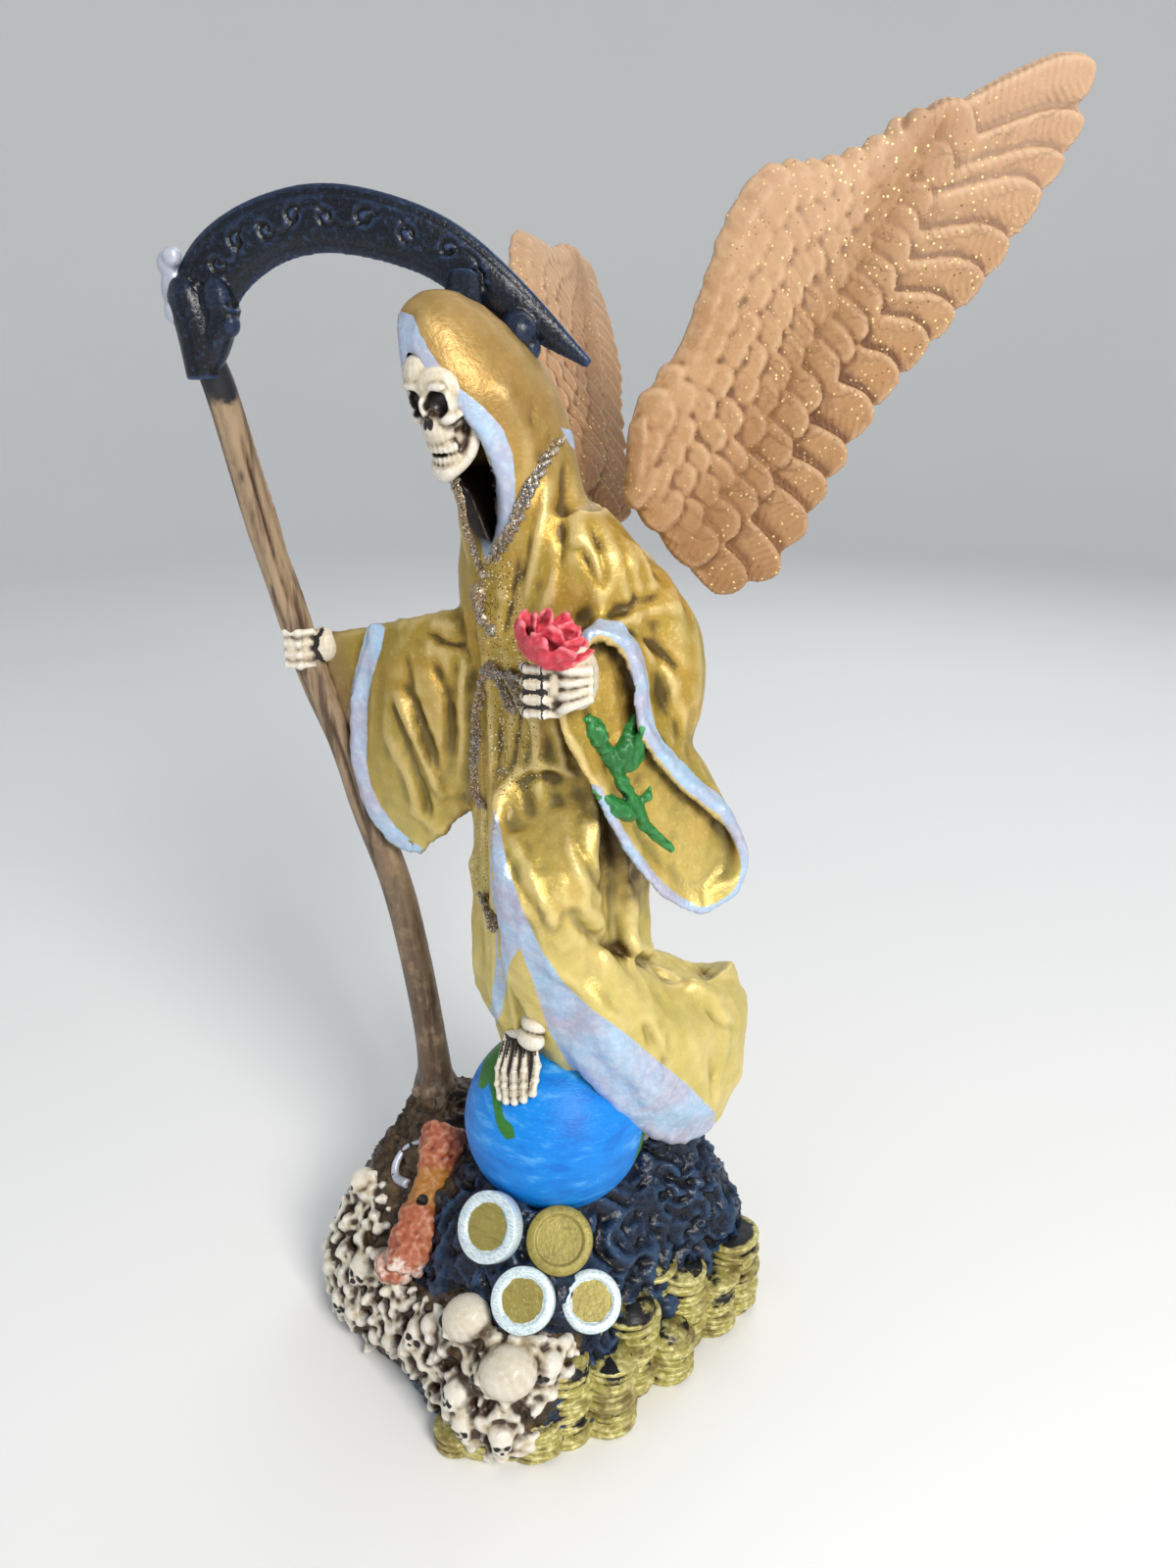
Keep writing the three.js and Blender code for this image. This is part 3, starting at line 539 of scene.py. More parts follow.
# In side view, the hood's front ends on this line of (height, y), and a skull's hollow is behind it
hood_front = [
    (300, -31.5), (297, -33.2), (292, -35), (286.5, -34.6), (281.6, -32.4), (277.6, -29.8),
    (273, -26.6), (267.5, -23.2), (260.5, -20.4), (252, -18.8), (246, -18.3)]
front_heights, front_ys = np.array(hood_front, float).T


def in_front(angle, share):
    """The space in front of the hood, cut away to open it"""
    wide, deep, over = 30, 15, 14
    square = np.sign(np.sin(angle)) * np.abs(np.sin(angle)) ** 0.05
    y = smooth_path(front_ys[:, None], share)[:, 0] - deep + deep * square
    z = smooth_path(front_heights[:, None], share)[:, 0] + over * np.clip(1 - 12 * share, 0, 1)
    return np.stack([10 + wide * np.cos(angle), y, z], 1)


face_hollow = upright([
    (246, 14.6, -15, 0.8, 6), (250, 14.5, -14, 2.4, 8), (256, 14, -13, 4.6, 10), (261, 13, -12, 8, 13.5),
    (267, 12, -11, 11.2, 16.5), (274, 11, -12, 12.3, 18.8), (281, 10.2, -15, 12, 18.2),
    (287, 9.3, -18, 10.2, 16.4), (291.5, 8.5, -21, 7.4, 12.6), (295, 8, -24, 3, 8)], 48, 50)
robe_opening = loft([
    [(18.5, -24, 134), (0.8, 0, 0), (0, 7, 0)], [(20.5, -24, 124), (4, 1, 0), (0, 9, 0)],
    [(21.5, -23, 112), (6.5, 2, 0), (0, 10, 0)], [(22, -21, 100), (8.5, 3, 0), (0, 11, 0)]], 20, 20)


def pleats(angle, share):
    """How far the robe's pleats stand out, deepest at the hem"""
    wave = np.cos(11 * angle + 0.9 * np.sin(2 * angle)) + 0.5 * np.cos(19 * angle + 4 * share)
    return 1 + (0.008 + 0.05 * (1 - share)) * wave


robe = cast("robe", [
    upright(robe_sections, 144, 90, pleats),
    upright(hood_sections, 72, 50),
    loft(leg_sections, 48, 40, lambda a, s: 1 + 0.05 * s * np.cos(5 * a)),
    loft(train_sections, 72, 60, lambda a, s: 1 + 0.05 * np.cos(7 * a + 5 * s)),
    loft(train_fill_sections, 40, 20),
    loft(upper_arm_sections, 48, 30),
    left_sleeve, right_sleeve, right_web, right_cuff, rim_bead(left_mouth, 1.5)],
    grain_size=1.0, rounding=4,
    cutters=[bent(in_front, 96, 60), face_hollow, robe_opening, left_hollow, right_hollow])

# The folds that show from the front left, by picture spots, each with its height and width
front_folds = [
    ([(545, 403), (541, 438)], -0.7, 0.9), ([(565, 441), (546, 473)], -0.8, 1.1),
    ([(500, 385), (525, 420), (538, 455), (538, 500)], 0.9, 2.6),
    ([(580, 466), (577, 500), (572, 550), (566, 590)], -1.6, 1.9),
    ([(562, 478), (552, 530), (543, 585), (536, 626)], 1.2, 1.6),
    ([(553, 500), (540, 560), (530, 600)], -0.8, 1.0), ([(594, 480), (590, 520), (588, 560)], 1.0, 2.2),
    ([(586, 551), (600, 575), (613, 599), (617, 588), (611, 556), (602, 529)], -1.1, 1.1),
    ([(616, 513), (637, 548), (659, 588), (667, 607)], 1.4, 2.2),
    ([(640, 520), (662, 560), (680, 600)], 0.9, 2.2), ([(626, 545), (645, 590), (650, 612)], -0.9, 1.3),
    ([(568, 548), (565, 588), (560, 620)], 1.0, 1.3), ([(528, 560), (522, 610), (512, 655)], -0.9, 1.2),
    ([(606, 610), (580, 640), (570, 660)], -1.0, 2.0), ([(655, 604), (640, 622), (612, 630)], -1.3, 1.6),
    ([(621, 639), (661, 624), (699, 620)], 1.5, 2.2), ([(630, 640), (665, 660), (700, 690)], -1.2, 1.5),
    ([(650, 650), (685, 700), (700, 760)], 1.0, 2.4), ([(645, 690), (665, 735), (690, 770)], -0.8, 1.6),
    ([(403, 700), (420, 744), (440, 788), (454, 818)], 2.0, 1.3),
    ([(410, 690), (430, 740), (448, 790)], -1.5, 1.5),
    ([(398, 712), (414, 758), (432, 806), (440, 840)], -1.5, 1.3),
    ([(391, 735), (408, 777), (421, 805), (428, 838)], 1.2, 1.5),
    ([(436, 668), (452, 701), (461, 748), (458, 800)], -1.8, 2.2),
    ([(478, 665), (470, 709), (470, 780)], 1.2, 1.6), ([(412, 660), (420, 701), (434, 745)], -0.9, 1.1),
    ([(432, 642), (452, 655), (476, 660)], -1.4, 1.0), ([(440, 634), (470, 640)], 0.9, 1.5),
    ([(532, 712), (526, 760), (520, 790)], -1.0, 1.1), ([(545, 720), (548, 760), (545, 785)], 0.9, 1.4),
    ([(508, 735), (506, 780), (500, 815)], -0.8, 1.0), ([(563, 730), (572, 765), (580, 790)], 0.9, 1.6),
    ([(510, 808), (529, 790), (555, 783), (583, 789), (606, 808)], 1.3, 1.4),
    ([(520, 800), (545, 792), (580, 798)], -0.9, 1.5), ([(560, 820), (590, 815), (600, 840)], -0.8, 2.5),
    ([(520, 850), (534, 879), (552, 920), (572, 950)], 1.6, 1.8),
    ([(516, 865), (528, 900), (545, 930), (556, 950)], -1.3, 1.2),
    ([(531, 880), (544, 915), (553, 933), (558, 920)], -0.9, 0.9),
    ([(568, 915), (574, 943), (560, 960)], -1.2, 1.4),
    ([(578, 925), (597, 950), (623, 965), (650, 978), (685, 984)], -1.8, 1.5),
    ([(585, 912), (610, 940), (645, 964), (680, 975)], 1.5, 1.8),
    ([(552, 972), (584, 1001), (612, 1026), (640, 1050)], 1.4, 2.4),
    ([(590, 860), (605, 890), (618, 915)], -1.2, 1.6), ([(575, 850), (590, 890), (600, 920)], 1.0, 1.5),
    ([(719, 1025), (734, 1042), (754, 1051)], -1.4, 1.1), ([(681, 1036), (674, 1060), (683, 1088)], 1.3, 1.4),
    ([(656, 1040), (666, 1065), (682, 1092)], -1.5, 1.3), ([(700, 1005), (715, 1010), (745, 1020)], 0.9, 1.8),
    ([(700, 1050), (712, 1085), (720, 1110)], 1.0, 2.2), ([(642, 880), (650, 920), (655, 960)], -0.9, 1.8),
    ([(690, 995), (720, 1002), (750, 1000)], -0.9, 1.0), ([(730, 1060), (735, 1085), (728, 1105)], -1.0, 1.4),
    ([(720, 760), (728, 800), (735, 835)], 0.8, 2.0)]
skin = skin_of(robe)
folds = [(picked(skin, pixels), height, width) for pixels, height, width in front_folds]

# Plainer folds on the sides that the picture doesn't show
draw = random.Random(7)
for turn in range(100, 330, 17):
    lean = draw.uniform(-6, 6)
    x = draw.uniform(-3, 3)
    low, high = draw.uniform(70, 95), draw.uniform(170, 232)
    line = [(x + lean * k / 4, high + (low - high) * k / 4) for k in range(5)]
    folds.append((sided(skin, turn, line), draw.choice((1.3, -1.4, 1.6)), draw.uniform(1.6, 2.6)))
for turn, line, height, width in [
        (180, [(0, 292), (2, 270), (0, 250), (-4, 225)], 1.0, 2.4),
        (165, [(-8, 262), (-14, 246), (-20, 228)], -1.1, 1.8),
        (200, [(8, 262), (14, 246), (20, 228)], -1.1, 1.8),
        (-60, [(0, 285), (4, 268), (8, 250), (10, 230)], 1.0, 2.2),
        (-60, [(-30, 200), (-26, 180), (-22, 160)], 1.2, 2.0),
        (-80, [(-14, 205), (-10, 185), (-8, 165)], -1.3, 2.0)]:
    folds.append((sided(skin, turn, line), height, width))
carved(robe, folds)

# Small creases run down the cloth everywhere
spots, normals = spots_of(robe) / mm, spots_of(robe, "normal")
crease = np.array([0.25 - abs(noise.noise(Vector((x * 0.17, y * 0.17, z * 0.045)))) for x, y, z in spots])
dent = np.array([noise.noise(Vector(spot) * 0.25) for spot in spots])
rough = (1.1 * crease + 0.3 * dent) * np.interp(spots[:, 2], [235, 255], [1, 0.3])
shifted(robe, spots + normals * rough[:, None])

# Silver is painted along the hood's rim, the sleeves' mouths, the front opening and the hem
skin = skin_of(robe)
front_silver = [
    (505, 822), (509, 838), (517, 880), (533, 928), (553, 970), (575, 1003), (604, 1030), (635, 1052),
    (666, 1078), (701, 1106), (730, 1136), (726, 1170), (702, 1182), (652, 1164), (615, 1130),
    (584, 1092), (560, 1052), (544, 1002), (530, 966), (519, 985), (513, 1030), (497, 1068),
    (487, 1064), (500, 1030), (506, 985), (506, 950), (500, 900), (500, 850)]
collar_left = [(470, 488), (486, 492), (496, 520), (503, 546), (500, 574), (494, 570), (488, 535)]
nape_smear = [(572, 436), (586, 440), (612, 462), (622, 476), (600, 470), (582, 455)]
hood_rim = [
    (404, 316), (422, 322), (430, 345), (449, 374), (470, 397), (494, 416), (513, 437), (523, 463),
    (526, 490), (525, 513), (517, 534), (503, 556), (498, 548), (506, 540), (512, 522), (514, 505),
    (512, 480), (507, 463), (485, 437), (458, 414), (434, 387), (415, 368), (404, 361)]
cuff = [
    (377, 628), (370, 658), (360, 695), (353, 735), (353, 775), (360, 808), (374, 838), (400, 868),
    (428, 884), (434, 868), (420, 858), (405, 845), (388, 822), (378, 800), (374, 777), (375, 716),
    (380, 690), (389, 662), (393, 640)]
spots = spots_of(robe) / mm
front_at = np.interp(-spots[:, 2], -front_heights, front_ys)
on_hood = (spots[:, 2] > 250) & (spots[:, 2] < 292) & (np.abs(spots[:, 0] - 11) < 20)
rims = np.minimum(
    band(robe, [(smooth_path(left_mouth, np.linspace(-0.02, 0.75, 60), True), 2.6)]),
    np.where(on_hood, np.abs(spots[:, 1] - front_at) / 1.2, 3))
painted_silver = patch(robe, [front_silver, collar_left, nape_smear, hood_rim, cuff])
marked(robe, "silver", np.minimum(rims, np.where(painted_silver > -8, 1 - painted_silver / 8, 3)))
marked(robe, "glitter", band(robe, [
    (picked(skin, [(505, 600), (510, 650), (520, 720), (525, 780)]), 9),
    (picked(skin, [(490, 760), (488, 900), (492, 1040)]), 5)]))
# Painted shade: the hood's inside round the neck is marked to be painted near black
marked(robe, "throat_shade", np.linalg.norm((spots - (12.5, -12, 262)) / (11, 16, 21), axis=1))
marked(robe, "bare", band(robe, [
    ([(-45.5, -29.5, 222), (-45, -27, 205), (-43, -24, 186), (-38, -19, 158)], 6)]))
# The long reach darkens the robe under the arms, sleeves and lap as well as in its hollows: painted shade
marked_wash_and_shade(robe, reach=20, rays=12, rounds=10, scale=0.35)


def layer(tree, below, above, share):
    """One colour laid over another by a share"""
    mix = node(tree, "Mix", data_type="RGBA")
    for socket, value in ((0, share), (6, below), (7, above)):
        if isinstance(value, bpy.types.NodeSocket):
            tree.links.new(value, mix.inputs[socket])
        else:
            mix.inputs[socket].default_value = value
    return mix.outputs[2]


def ranged(tree, value, low, high, to_low=0.0, to_high=1.0):
    """A value read between two limits and spread to two others"""
    return node(tree, "MapRange", {"Value": value, "From Min": low, "From Max": high,
                                   "To Min": to_low, "To Max": to_high}).outputs[0]


def summed(tree, one, two, kind="ADD"):
    """Two values added, or put together another way"""
    return node(tree, "Math", {0: one, 1: two}, operation=kind).outputs[0]


def mottle(tree, spots, scale, detail=4.0, stretch=(1, 1, 1)):
    """A soft noise over the surface"""
    stretched = node(tree, "Mapping", {"Vector": spots, "Scale": stretch})
    return node(tree, "TexNoise", {"Vector": stretched.outputs[0], "Scale": scale, "Detail": detail,
                                   "Roughness": 0.6}).outputs["Fac"]


def mark(tree, name):
    """A number that was marked at the vertices"""
    return node(tree, "Attribute", attribute_name=name).outputs["Fac"]


def flakes(tree, spots, scale, rarity):
    """Glitter: a few round cells in many. Gives where they lie and a random tone for each"""
    cells = node(tree, "TexVoronoi", {"Vector": spots, "Scale": scale})
    tone = node(tree, "SeparateColor", {"Color": cells.outputs["Color"]})
    round_spot = ranged(tree, cells.outputs["Distance"], 0.36, 0.3)
    chosen = ranged(tree, tone.outputs[0], rarity, rarity + 0.01)
    return summed(tree, round_spot, chosen, "MULTIPLY"), tone.outputs[1]


def painted(name, plain, other, deep, rubbed_and_sheen, rough, wash_and_shade=1.0, brush=(1, 1, 1), closed=(0.3, 0.75)):
    """Brushed paint on a casting: two mottled tones, hollows darkened with brown paint and painted shade,
    edges lit with dry-brush and painted sheen
    """
    made, tree, spots = surface(name)
    hollow, shelter = mark(tree, "wash_and_shade"), mark(tree, "shelter")
    broad = ranged(tree, mottle(tree, spots, 60), 0.35, 0.65)
    streaks = mottle(tree, spots, 900, 3, brush)
    tone = layer(tree, plain, other, broad)
    # Edges and brush streaks are made lighter: dry-brushed paint, and on the edges partly painted sheen
    tone = layer(tree, tone, rubbed_and_sheen, summed(
        tree, ranged(tree, streaks, 0.55, 0.8, 0, 0.45), ranged(tree, hollow, -0.1, -0.8, 0, 0.6)))
    # Hollows and sheltered spots are darkened: partly brown paint settled there, partly painted shade
    blot = ranged(tree, mottle(tree, spots, 350), 0, 1, -0.22, 0.22)
    tone = layer(tree, tone, deep, ranged(tree, summed(tree, hollow, blot), 0.15, 0.8, 0, wash_and_shade))
    tone = layer(tree, tone, deep, ranged(tree, summed(tree, shelter, blot), *closed, 0, wash_and_shade))
    relief = summed(tree, streaks, mottle(tree, spots, 260))
    bump = node(tree, "Bump", {"Height": relief, "Strength": 0.45, "Distance": 0.0004})
    gloss = ranged(tree, streaks, 0.3, 0.7, rough - 0.07, rough + 0.09)
    return made, tree, spots, tone, bump.outputs[0], gloss


gold, tree, spots, tone, bump, gloss = painted(
    "gold_paint", plain=(0.52, 0.32, 0.055, 1), other=(0.38, 0.28, 0.04, 1), deep=(0.07, 0.04, 0.008, 1),
    rubbed_and_sheen=(0.9, 0.7, 0.32, 1), rough=0.42, wash_and_shade=0.9, closed=(0.14, 0.62))
place = node(tree, "SeparateXYZ", {0: spots})
height = place.outputs[2]
hood_brown = layer(tree, (0.3, 0.17, 0.05, 1), (0.42, 0.26, 0.1, 1), ranged(
    tree, mottle(tree, spots, 70), 0.4, 0.6))
tone = layer(tree, tone, hood_brown, ranged(tree, height, 0.25, 0.275, 0, 0.7))
# Painted shade: the robe's right side, which faces away from the key light, is darker olive
tone = layer(tree, tone, (0.2, 0.15, 0.03, 1), ranged(tree, place.outputs[0], 0.0, -0.03, 0, 0.55))
# Painted light: the lower robe, where nothing shelters it, is laid over with lighter lemon gold
lit_lemon = layer(tree, (0.84, 0.7, 0.28, 1), (0.68, 0.58, 0.18, 1), ranged(
    tree, mottle(tree, spots, 80), 0.4, 0.6))
lit_open_skin = ranged(tree, mark(tree, "shelter"), 0.5, 0.15)
lit_low_down = summed(tree, ranged(tree, height, 0.2, 0.13, 0, 0.75), lit_open_skin, "MULTIPLY")
tone = layer(tree, tone, lit_lemon, lit_low_down)
ragged = summed(tree, mark(tree, "silver"), ranged(tree, mottle(tree, spots, 420), 0, 1, -0.12, 0.12))
silver_tone = layer(tree, (0.46, 0.46, 0.6, 1), (0.4, 0.6, 0.82, 1), ranged(
    tree, mottle(tree, spots, 60), 0.4, 0.62))
silver_tone = layer(tree, silver_tone, (0.86, 0.88, 0.95, 1), ranged(
    tree, mottle(tree, spots, 500), 0.42, 0.75, 0, 0.4))
# Painted shade darkens the silver where it is sheltered
silver_tone = layer(tree, silver_tone, (0.1, 0.09, 0.12, 1), ranged(
    tree, mark(tree, "shelter"), 0.25, 0.7, 0, 0.8))
tone = layer(tree, tone, silver_tone, ranged(tree, ragged, 1.06, 0.94))
bare = summed(tree, mark(tree, "bare"), ranged(tree, mottle(tree, spots, 200), 0, 1, -0.3, 0.3))
umber = layer(tree, (0.2, 0.12, 0.04, 1), (0.34, 0.24, 0.11, 1), mottle(tree, spots, 400))
tone = layer(tree, tone, umber, ranged(tree, bare, 1.5, 0.6, 0, 0.9))
# Glitter flakes in two bands down the front: real glitter, its sparkle painted as bright and dark flakes
on, pick = flakes(tree, spots, 1500, 0.5)
glitter_glint_tone = layer(tree, (0.03, 0.025, 0.015, 1), (1, 0.93, 0.7, 1), ranged(tree, pick, 0.6, 0.65))
there = summed(tree, on, ranged(tree, mark(tree, "glitter"), 1.1, 0.9), "MULTIPLY")
tone = layer(tree, tone, glitter_glint_tone, there)
# Painted shade: the hood's inside is laid near black
tone = layer(tree, tone, (0.012, 0.006, 0.005, 1), ranged(tree, mark(tree, "throat_shade"), 1.0, 0.8))
shown(tree, node(tree, "BsdfPrincipled", {
    "Base Color": tone, "Metallic": 0.4, "Roughness": gloss, "Normal": bump}))
robe.data.materials.append(gold)
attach(robe, "root")
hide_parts("figure")

# Bead strings and girdle
# Strings of tiny beads fall from the hood to the breast and a rope girdle hangs in two ends.
# They are carved in the casting and thick with dark silver and gold glitter.
def blob(centre, half, turn=None, fine=16):
    """A ball or egg with its half sizes, turned about its own middle"""
    bm = bmesh.new()
    half = (half, half, half) if np.isscalar(half) else half
    place = Matrix.Translation(Vector(centre) * mm)
    if turn:
        place = place @ Euler(turn).to_matrix().to_4x4()
    place = place @ Matrix.Diagonal((*[h * mm for h in half], 1))
    bmesh.ops.create_uvsphere(bm, u_segments=fine, v_segments=fine * 2 // 3, radius=1, matrix=place)
    return bm


rope_runs = [
    ([(588, 432), (570, 449), (556, 470), (544, 491), (535, 510), (526, 533), (515, 553), (503, 572)], 1.8),
    ([(464, 490), (472, 513), (479, 543), (489, 573), (496, 588)], 1.5),
    ([(499, 684), (520, 688), (545, 694), (562, 697)], 2.2),
    ([(497, 686), (489, 720), (488, 754), (486, 782), (487, 812)], 1.9),
    ([(508, 688), (517, 708), (524, 726)], 1.8), ([(520, 690), (528, 706), (534, 722)], 1.6),
    ([(487, 806), (494, 822)], 2), ([(493, 912), (500, 930), (504, 948)], 1.7)]
strings = []
toward = np.array(camera_turn @ Vector((0, 0, 1)))
for pixels, radius in rope_runs:
    path = picked(skin, pixels)
    for i, spot in enumerate(dense(path, radius * 0.55)):
        for strand in (0, 1):
            turn = i * 1.0 + strand * np.pi
            shift = radius * 0.48 * np.array([np.cos(turn), np.cos(turn), 0.4 * np.sin(turn)])
            strings.append(blob(spot + shift + toward * 0.35, radius * 0.52, None, 8))
for view in (-120, 180):
    run = sided(skin, view, [(-20, 210), (-7, 210.5), (7, 210.5), (20, 210)])
    for spot in dense(run, 1.1) if len(run) > 2 else []:
        strings.append(blob(spot, 1.25, None, 8))
pendant = picked(skin, [(490, 607)])[0] + toward * 1.4
strings += [blob(pendant, (2.5, 2.5, 2.9)), blob(pendant + (0.3, -0.6, -3), (1.7, 1.7, 2.2))]
for x, y, radius in [(493, 632, 1.9), (502, 643, 1.7), (584, 438, 2.2), (503, 684, 2.6)]:
    strings += [blob(spot, radius) for spot in picked(skin, [(x, y)])]
ropes = cast("ropes", strings, grain_size=0.42, rounding=1)
marked_wash_and_shade(ropes, reach=2, rays=8, rounds=4, scale=0.25)
glitter_paint, tree, spots, tone, bump, gloss = painted(
    "rope_glitter", plain=(0.12, 0.11, 0.11, 1), other=(0.24, 0.15, 0.06, 1), deep=(0.012, 0.009, 0.008, 1),
    rubbed_and_sheen=(0.7, 0.68, 0.62, 1), rough=0.4, closed=(0.12, 0.5))
# The glitter's sparkle is painted: bright gold and white flakes, then dark ones
on, pick = flakes(tree, spots, 2100, 0.25)
tone = layer(tree, tone, layer(tree, (0.9, 0.88, 0.82, 1), (0.78, 0.52, 0.2, 1), ranged(
    tree, pick, 0.4, 0.6)), on)
on, pick = flakes(tree, spots, 1700, 0.5)
tone = layer(tree, tone, (0.02, 0.018, 0.02, 1), on)
shown(tree, node(tree, "BsdfPrincipled", {
    "Base Color": tone, "Metallic": 0.4, "Roughness": 0.35, "Normal": bump}))
ropes.data.materials.append(glitter_paint)
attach(ropes, "root")
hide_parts("figure")


# Skull under the hood
# A bare skull looks out of the hood, on neck bones in its dark hollow. Both are resin, cast with
# the robe, and painted bone white with a brown wash; their hollows also carry painted shade.
def skull_parts(centre, size, turn, fine):
    """Shapes and cutters of a skull that looks along -Y before it is turned, and its sockets"""
    place = Matrix.Translation(Vector(centre) * mm) @ Euler(turn).to_matrix().to_4x4()

    def moved(bm):
        bmesh.ops.transform(bm, matrix=place, verts=bm.verts)
        return bm

    def egg(x, y, z, wide, deep, tall):
        return moved(blob((x * size, y * size, z * size), (wide * size, deep * size, tall * size)))

    def bar(points, radii):
        return moved(rod(np.array(points) * size, [r * size for r in radii], 10, 14))
    top = 0.76 if fine else 0.88
    parts = [egg(0, 0.06, 0.3, top, top + 0.1, top - 0.04), egg(0, -0.44, 0.3, 0.68, 0.48, 0.58),
             egg(0, -0.68, -0.5, 0.4, 0.37, 0.42), egg(0, -0.2, -0.35, 0.52, 0.6, 0.4),
             egg(0, -0.95, 0.06, 0.09, 0.13, 0.24), egg(0, -0.86, -1.46, 0.28, 0.2, 0.18),
             egg(0, -0.4, -0.8, 0.44, 0.44, 0.44)]
    holes = []
    for side in (-1, 1):
        parts += [
            egg(0.34 * side, -0.8, 0.46, 0.3, 0.12, 0.1), egg(0.54 * side, -0.64, 0.12, 0.1, 0.18, 0.28),
            egg(0.42 * side, -0.76, -0.22, 0.24, 0.18, 0.14),
            bar([(0.5 * side, -0.72, -0.22), (0.58 * side, -0.5, -0.2), (0.6 * side, -0.2, -0.14)],
                [0.12, 0.09, 0.08]),
            bar([(0.6 * side, -0.12, -0.2), (0.58 * side, -0.22, -0.72), (0.46 * side, -0.46, -1.14),
                 (0.2 * side, -0.82, -1.38), (0, -0.88, -1.42)], [0.17, 0.15, 0.16, 0.18, 0.18])]
        holes += [(0.33 * side, -0.98, 0.12, 0.26, 0.42, 0.29), (0.08 * side, -1.12, -0.24, 0.09, 0.2, 0.17)]
    if fine:
        for tooth in range(9):
            turn_by = (tooth - 4) * 0.28
            x, y = 0.45 * math.sin(turn_by), -0.58 - 0.36 * math.cos(turn_by)
            parts.append(egg(x, y, -0.86, 0.06, 0.07, 0.13))
            parts.append(egg(x * 0.94, y + 0.05, -1.14, 0.055, 0.07, 0.13))
        parts += [egg(0, -0.5, -1.0, 0.42, 0.3, 0.2), egg(-0.3, -0.4, 0.55, 0.52, 0.46, 0.52)]
    else:
        parts.append(egg(0, -0.66, -0.95, 0.42, 0.28, 0.22))

    def gloom(spots):
        """How deep in a socket spots lie: under 1 is inside"""
        local = (spots * mm - np.array(place.to_translation())) @ np.array(place.to_3x3()) / (size * mm)
        return np.min([np.linalg.norm((local - hole[:3]) / (np.array(hole[3:]) + 0.03), axis=1)
                       for hole in holes], axis=0)
    return parts, [egg(*hole) for hole in holes], gloom


shapes, cutters, gloom = skull_parts((12, -25.2, 280.2), 10.4, (0.335, 0, 0.12), True)
shapes.append(rod([(14, -8, 240), (14, -10, 256), (13, -14, 272)], [4.4, 3.2, 4], 12, 12))
for level in range(6):
    shapes.append(blob((15.5, -11 - level * 0.4, 246 + level * 3.4), (4.4, 4.0, 1.1), None, 12))
head = cast("head", shapes, grain_size=0.35, rounding=1, cutters=cutters)
spots = spots_of(head) / mm
# Near black in the eye and nose sockets, and on the neck bones low in the hood's hollow, where it is painted
# shade
neck = np.linalg.norm((spots - (12, -10, 256)) / (8, 8, 12), axis=1) * 0.9
marked(head, "gloom", np.minimum(gloom(spots), np.where(spots[:, 2] < 264, neck, 9)))
marked_wash_and_shade(head, reach=4, rays=14, rounds=8, scale=0.09)
bone, tree, spots, tone, bump, gloss = painted(
    "bone_paint", plain=(0.7, 0.63, 0.49, 1), other=(0.52, 0.43, 0.28, 1), deep=(0.045, 0.02, 0.009, 1),
    rubbed_and_sheen=(0.88, 0.86, 0.8, 1), rough=0.45, wash_and_shade=0.97, closed=(0.04, 0.34))
tone = layer(tree, tone, (0.008, 0.004, 0.003, 1), ranged(tree, mark(tree, "gloom"), 1.02, 0.9))
shown(tree, node(tree, "BsdfPrincipled", {
    "Base Color": tone, "Roughness": gloss, "Normal": bump, "Coat Weight": 0.15}))
head.data.materials.append(bone)
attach(head, "root")
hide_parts("figure")


# Hands
# Bone hands, cast with the sleeves and painted bone white, with black between the fingers. The
# left closes round the rose's stem, and the right grips the scythe's staff.
def knuckled(points, radius):
    """A finger of bones with a knob at each joint"""
    shapes = [rod(points, [radius * 0.78] * len(points), 10, 16)]
    return shapes + [blob(spot, radius * 1.12, None, 10) for spot in points[1:]]


hand_shapes = [blob((48.2, -20.5, 219.6), (3.4, 5, 7.4)), blob((44.6, -24.6, 218.6), (3, 3, 5)),
               blob((-44.5, -29, 213.5), (4.4, 4, 5))]
finger_lines = []
for base, reaches, pitch in [
        ((45.6, -24.6, 222), [(0, 0, 0), (-2, -3.6, 0.3), (-5.8, -5, 0.1), (-8.6, -3, -0.4)], 3.5),
        ((-44.5, -31.5, 217.5), [(0, 0, 0), (-1.5, -4.2, 0), (-4.8, -5.8, 0), (-7.8, -3.2, 0)], 3)]:
    lines = [np.array(reaches) + base - (0, 0, pitch * finger) for finger in range(4)]
    for line in lines:
        hand_shapes += knuckled(line, 1.28)
    hand_shapes.append(sheet(lines[0], lines[3], 1.5))
    finger_lines += lines
for finger in range(4):
    knuckle, wrist = 222.6 - 3.5 * finger, 222 - 2 * finger
    hand_shapes.append(rod([(45, -25, knuckle), (49, -25, (knuckle + wrist) / 2), (51.8, -20.5, wrist)],
                           [1.5, 1.3, 1.4], 10, 16))
hand_shapes += knuckled([(45, -24, 224), (42.5, -27.5, 226.5), (40, -29.5, 227)], 1.4)
hands = cast("hands", hand_shapes, grain_size=0.4, rounding=1)
# The gaps between the fingers are painted black
palms = np.abs(spots_of(hands)[:, 0] / mm - 0.5) > 44.6
between = band(hands, [(line, 1.0) for line in finger_lines])
marked(hands, "gloom", np.where((between > 1.3) & (between < 2.9) & ~palms, 0.85, 2.0))
marked_wash_and_shade(hands, reach=4, rays=12, rounds=6, scale=0.1)
hands.data.materials.append(bone)
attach(hands, "root")
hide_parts("figure")

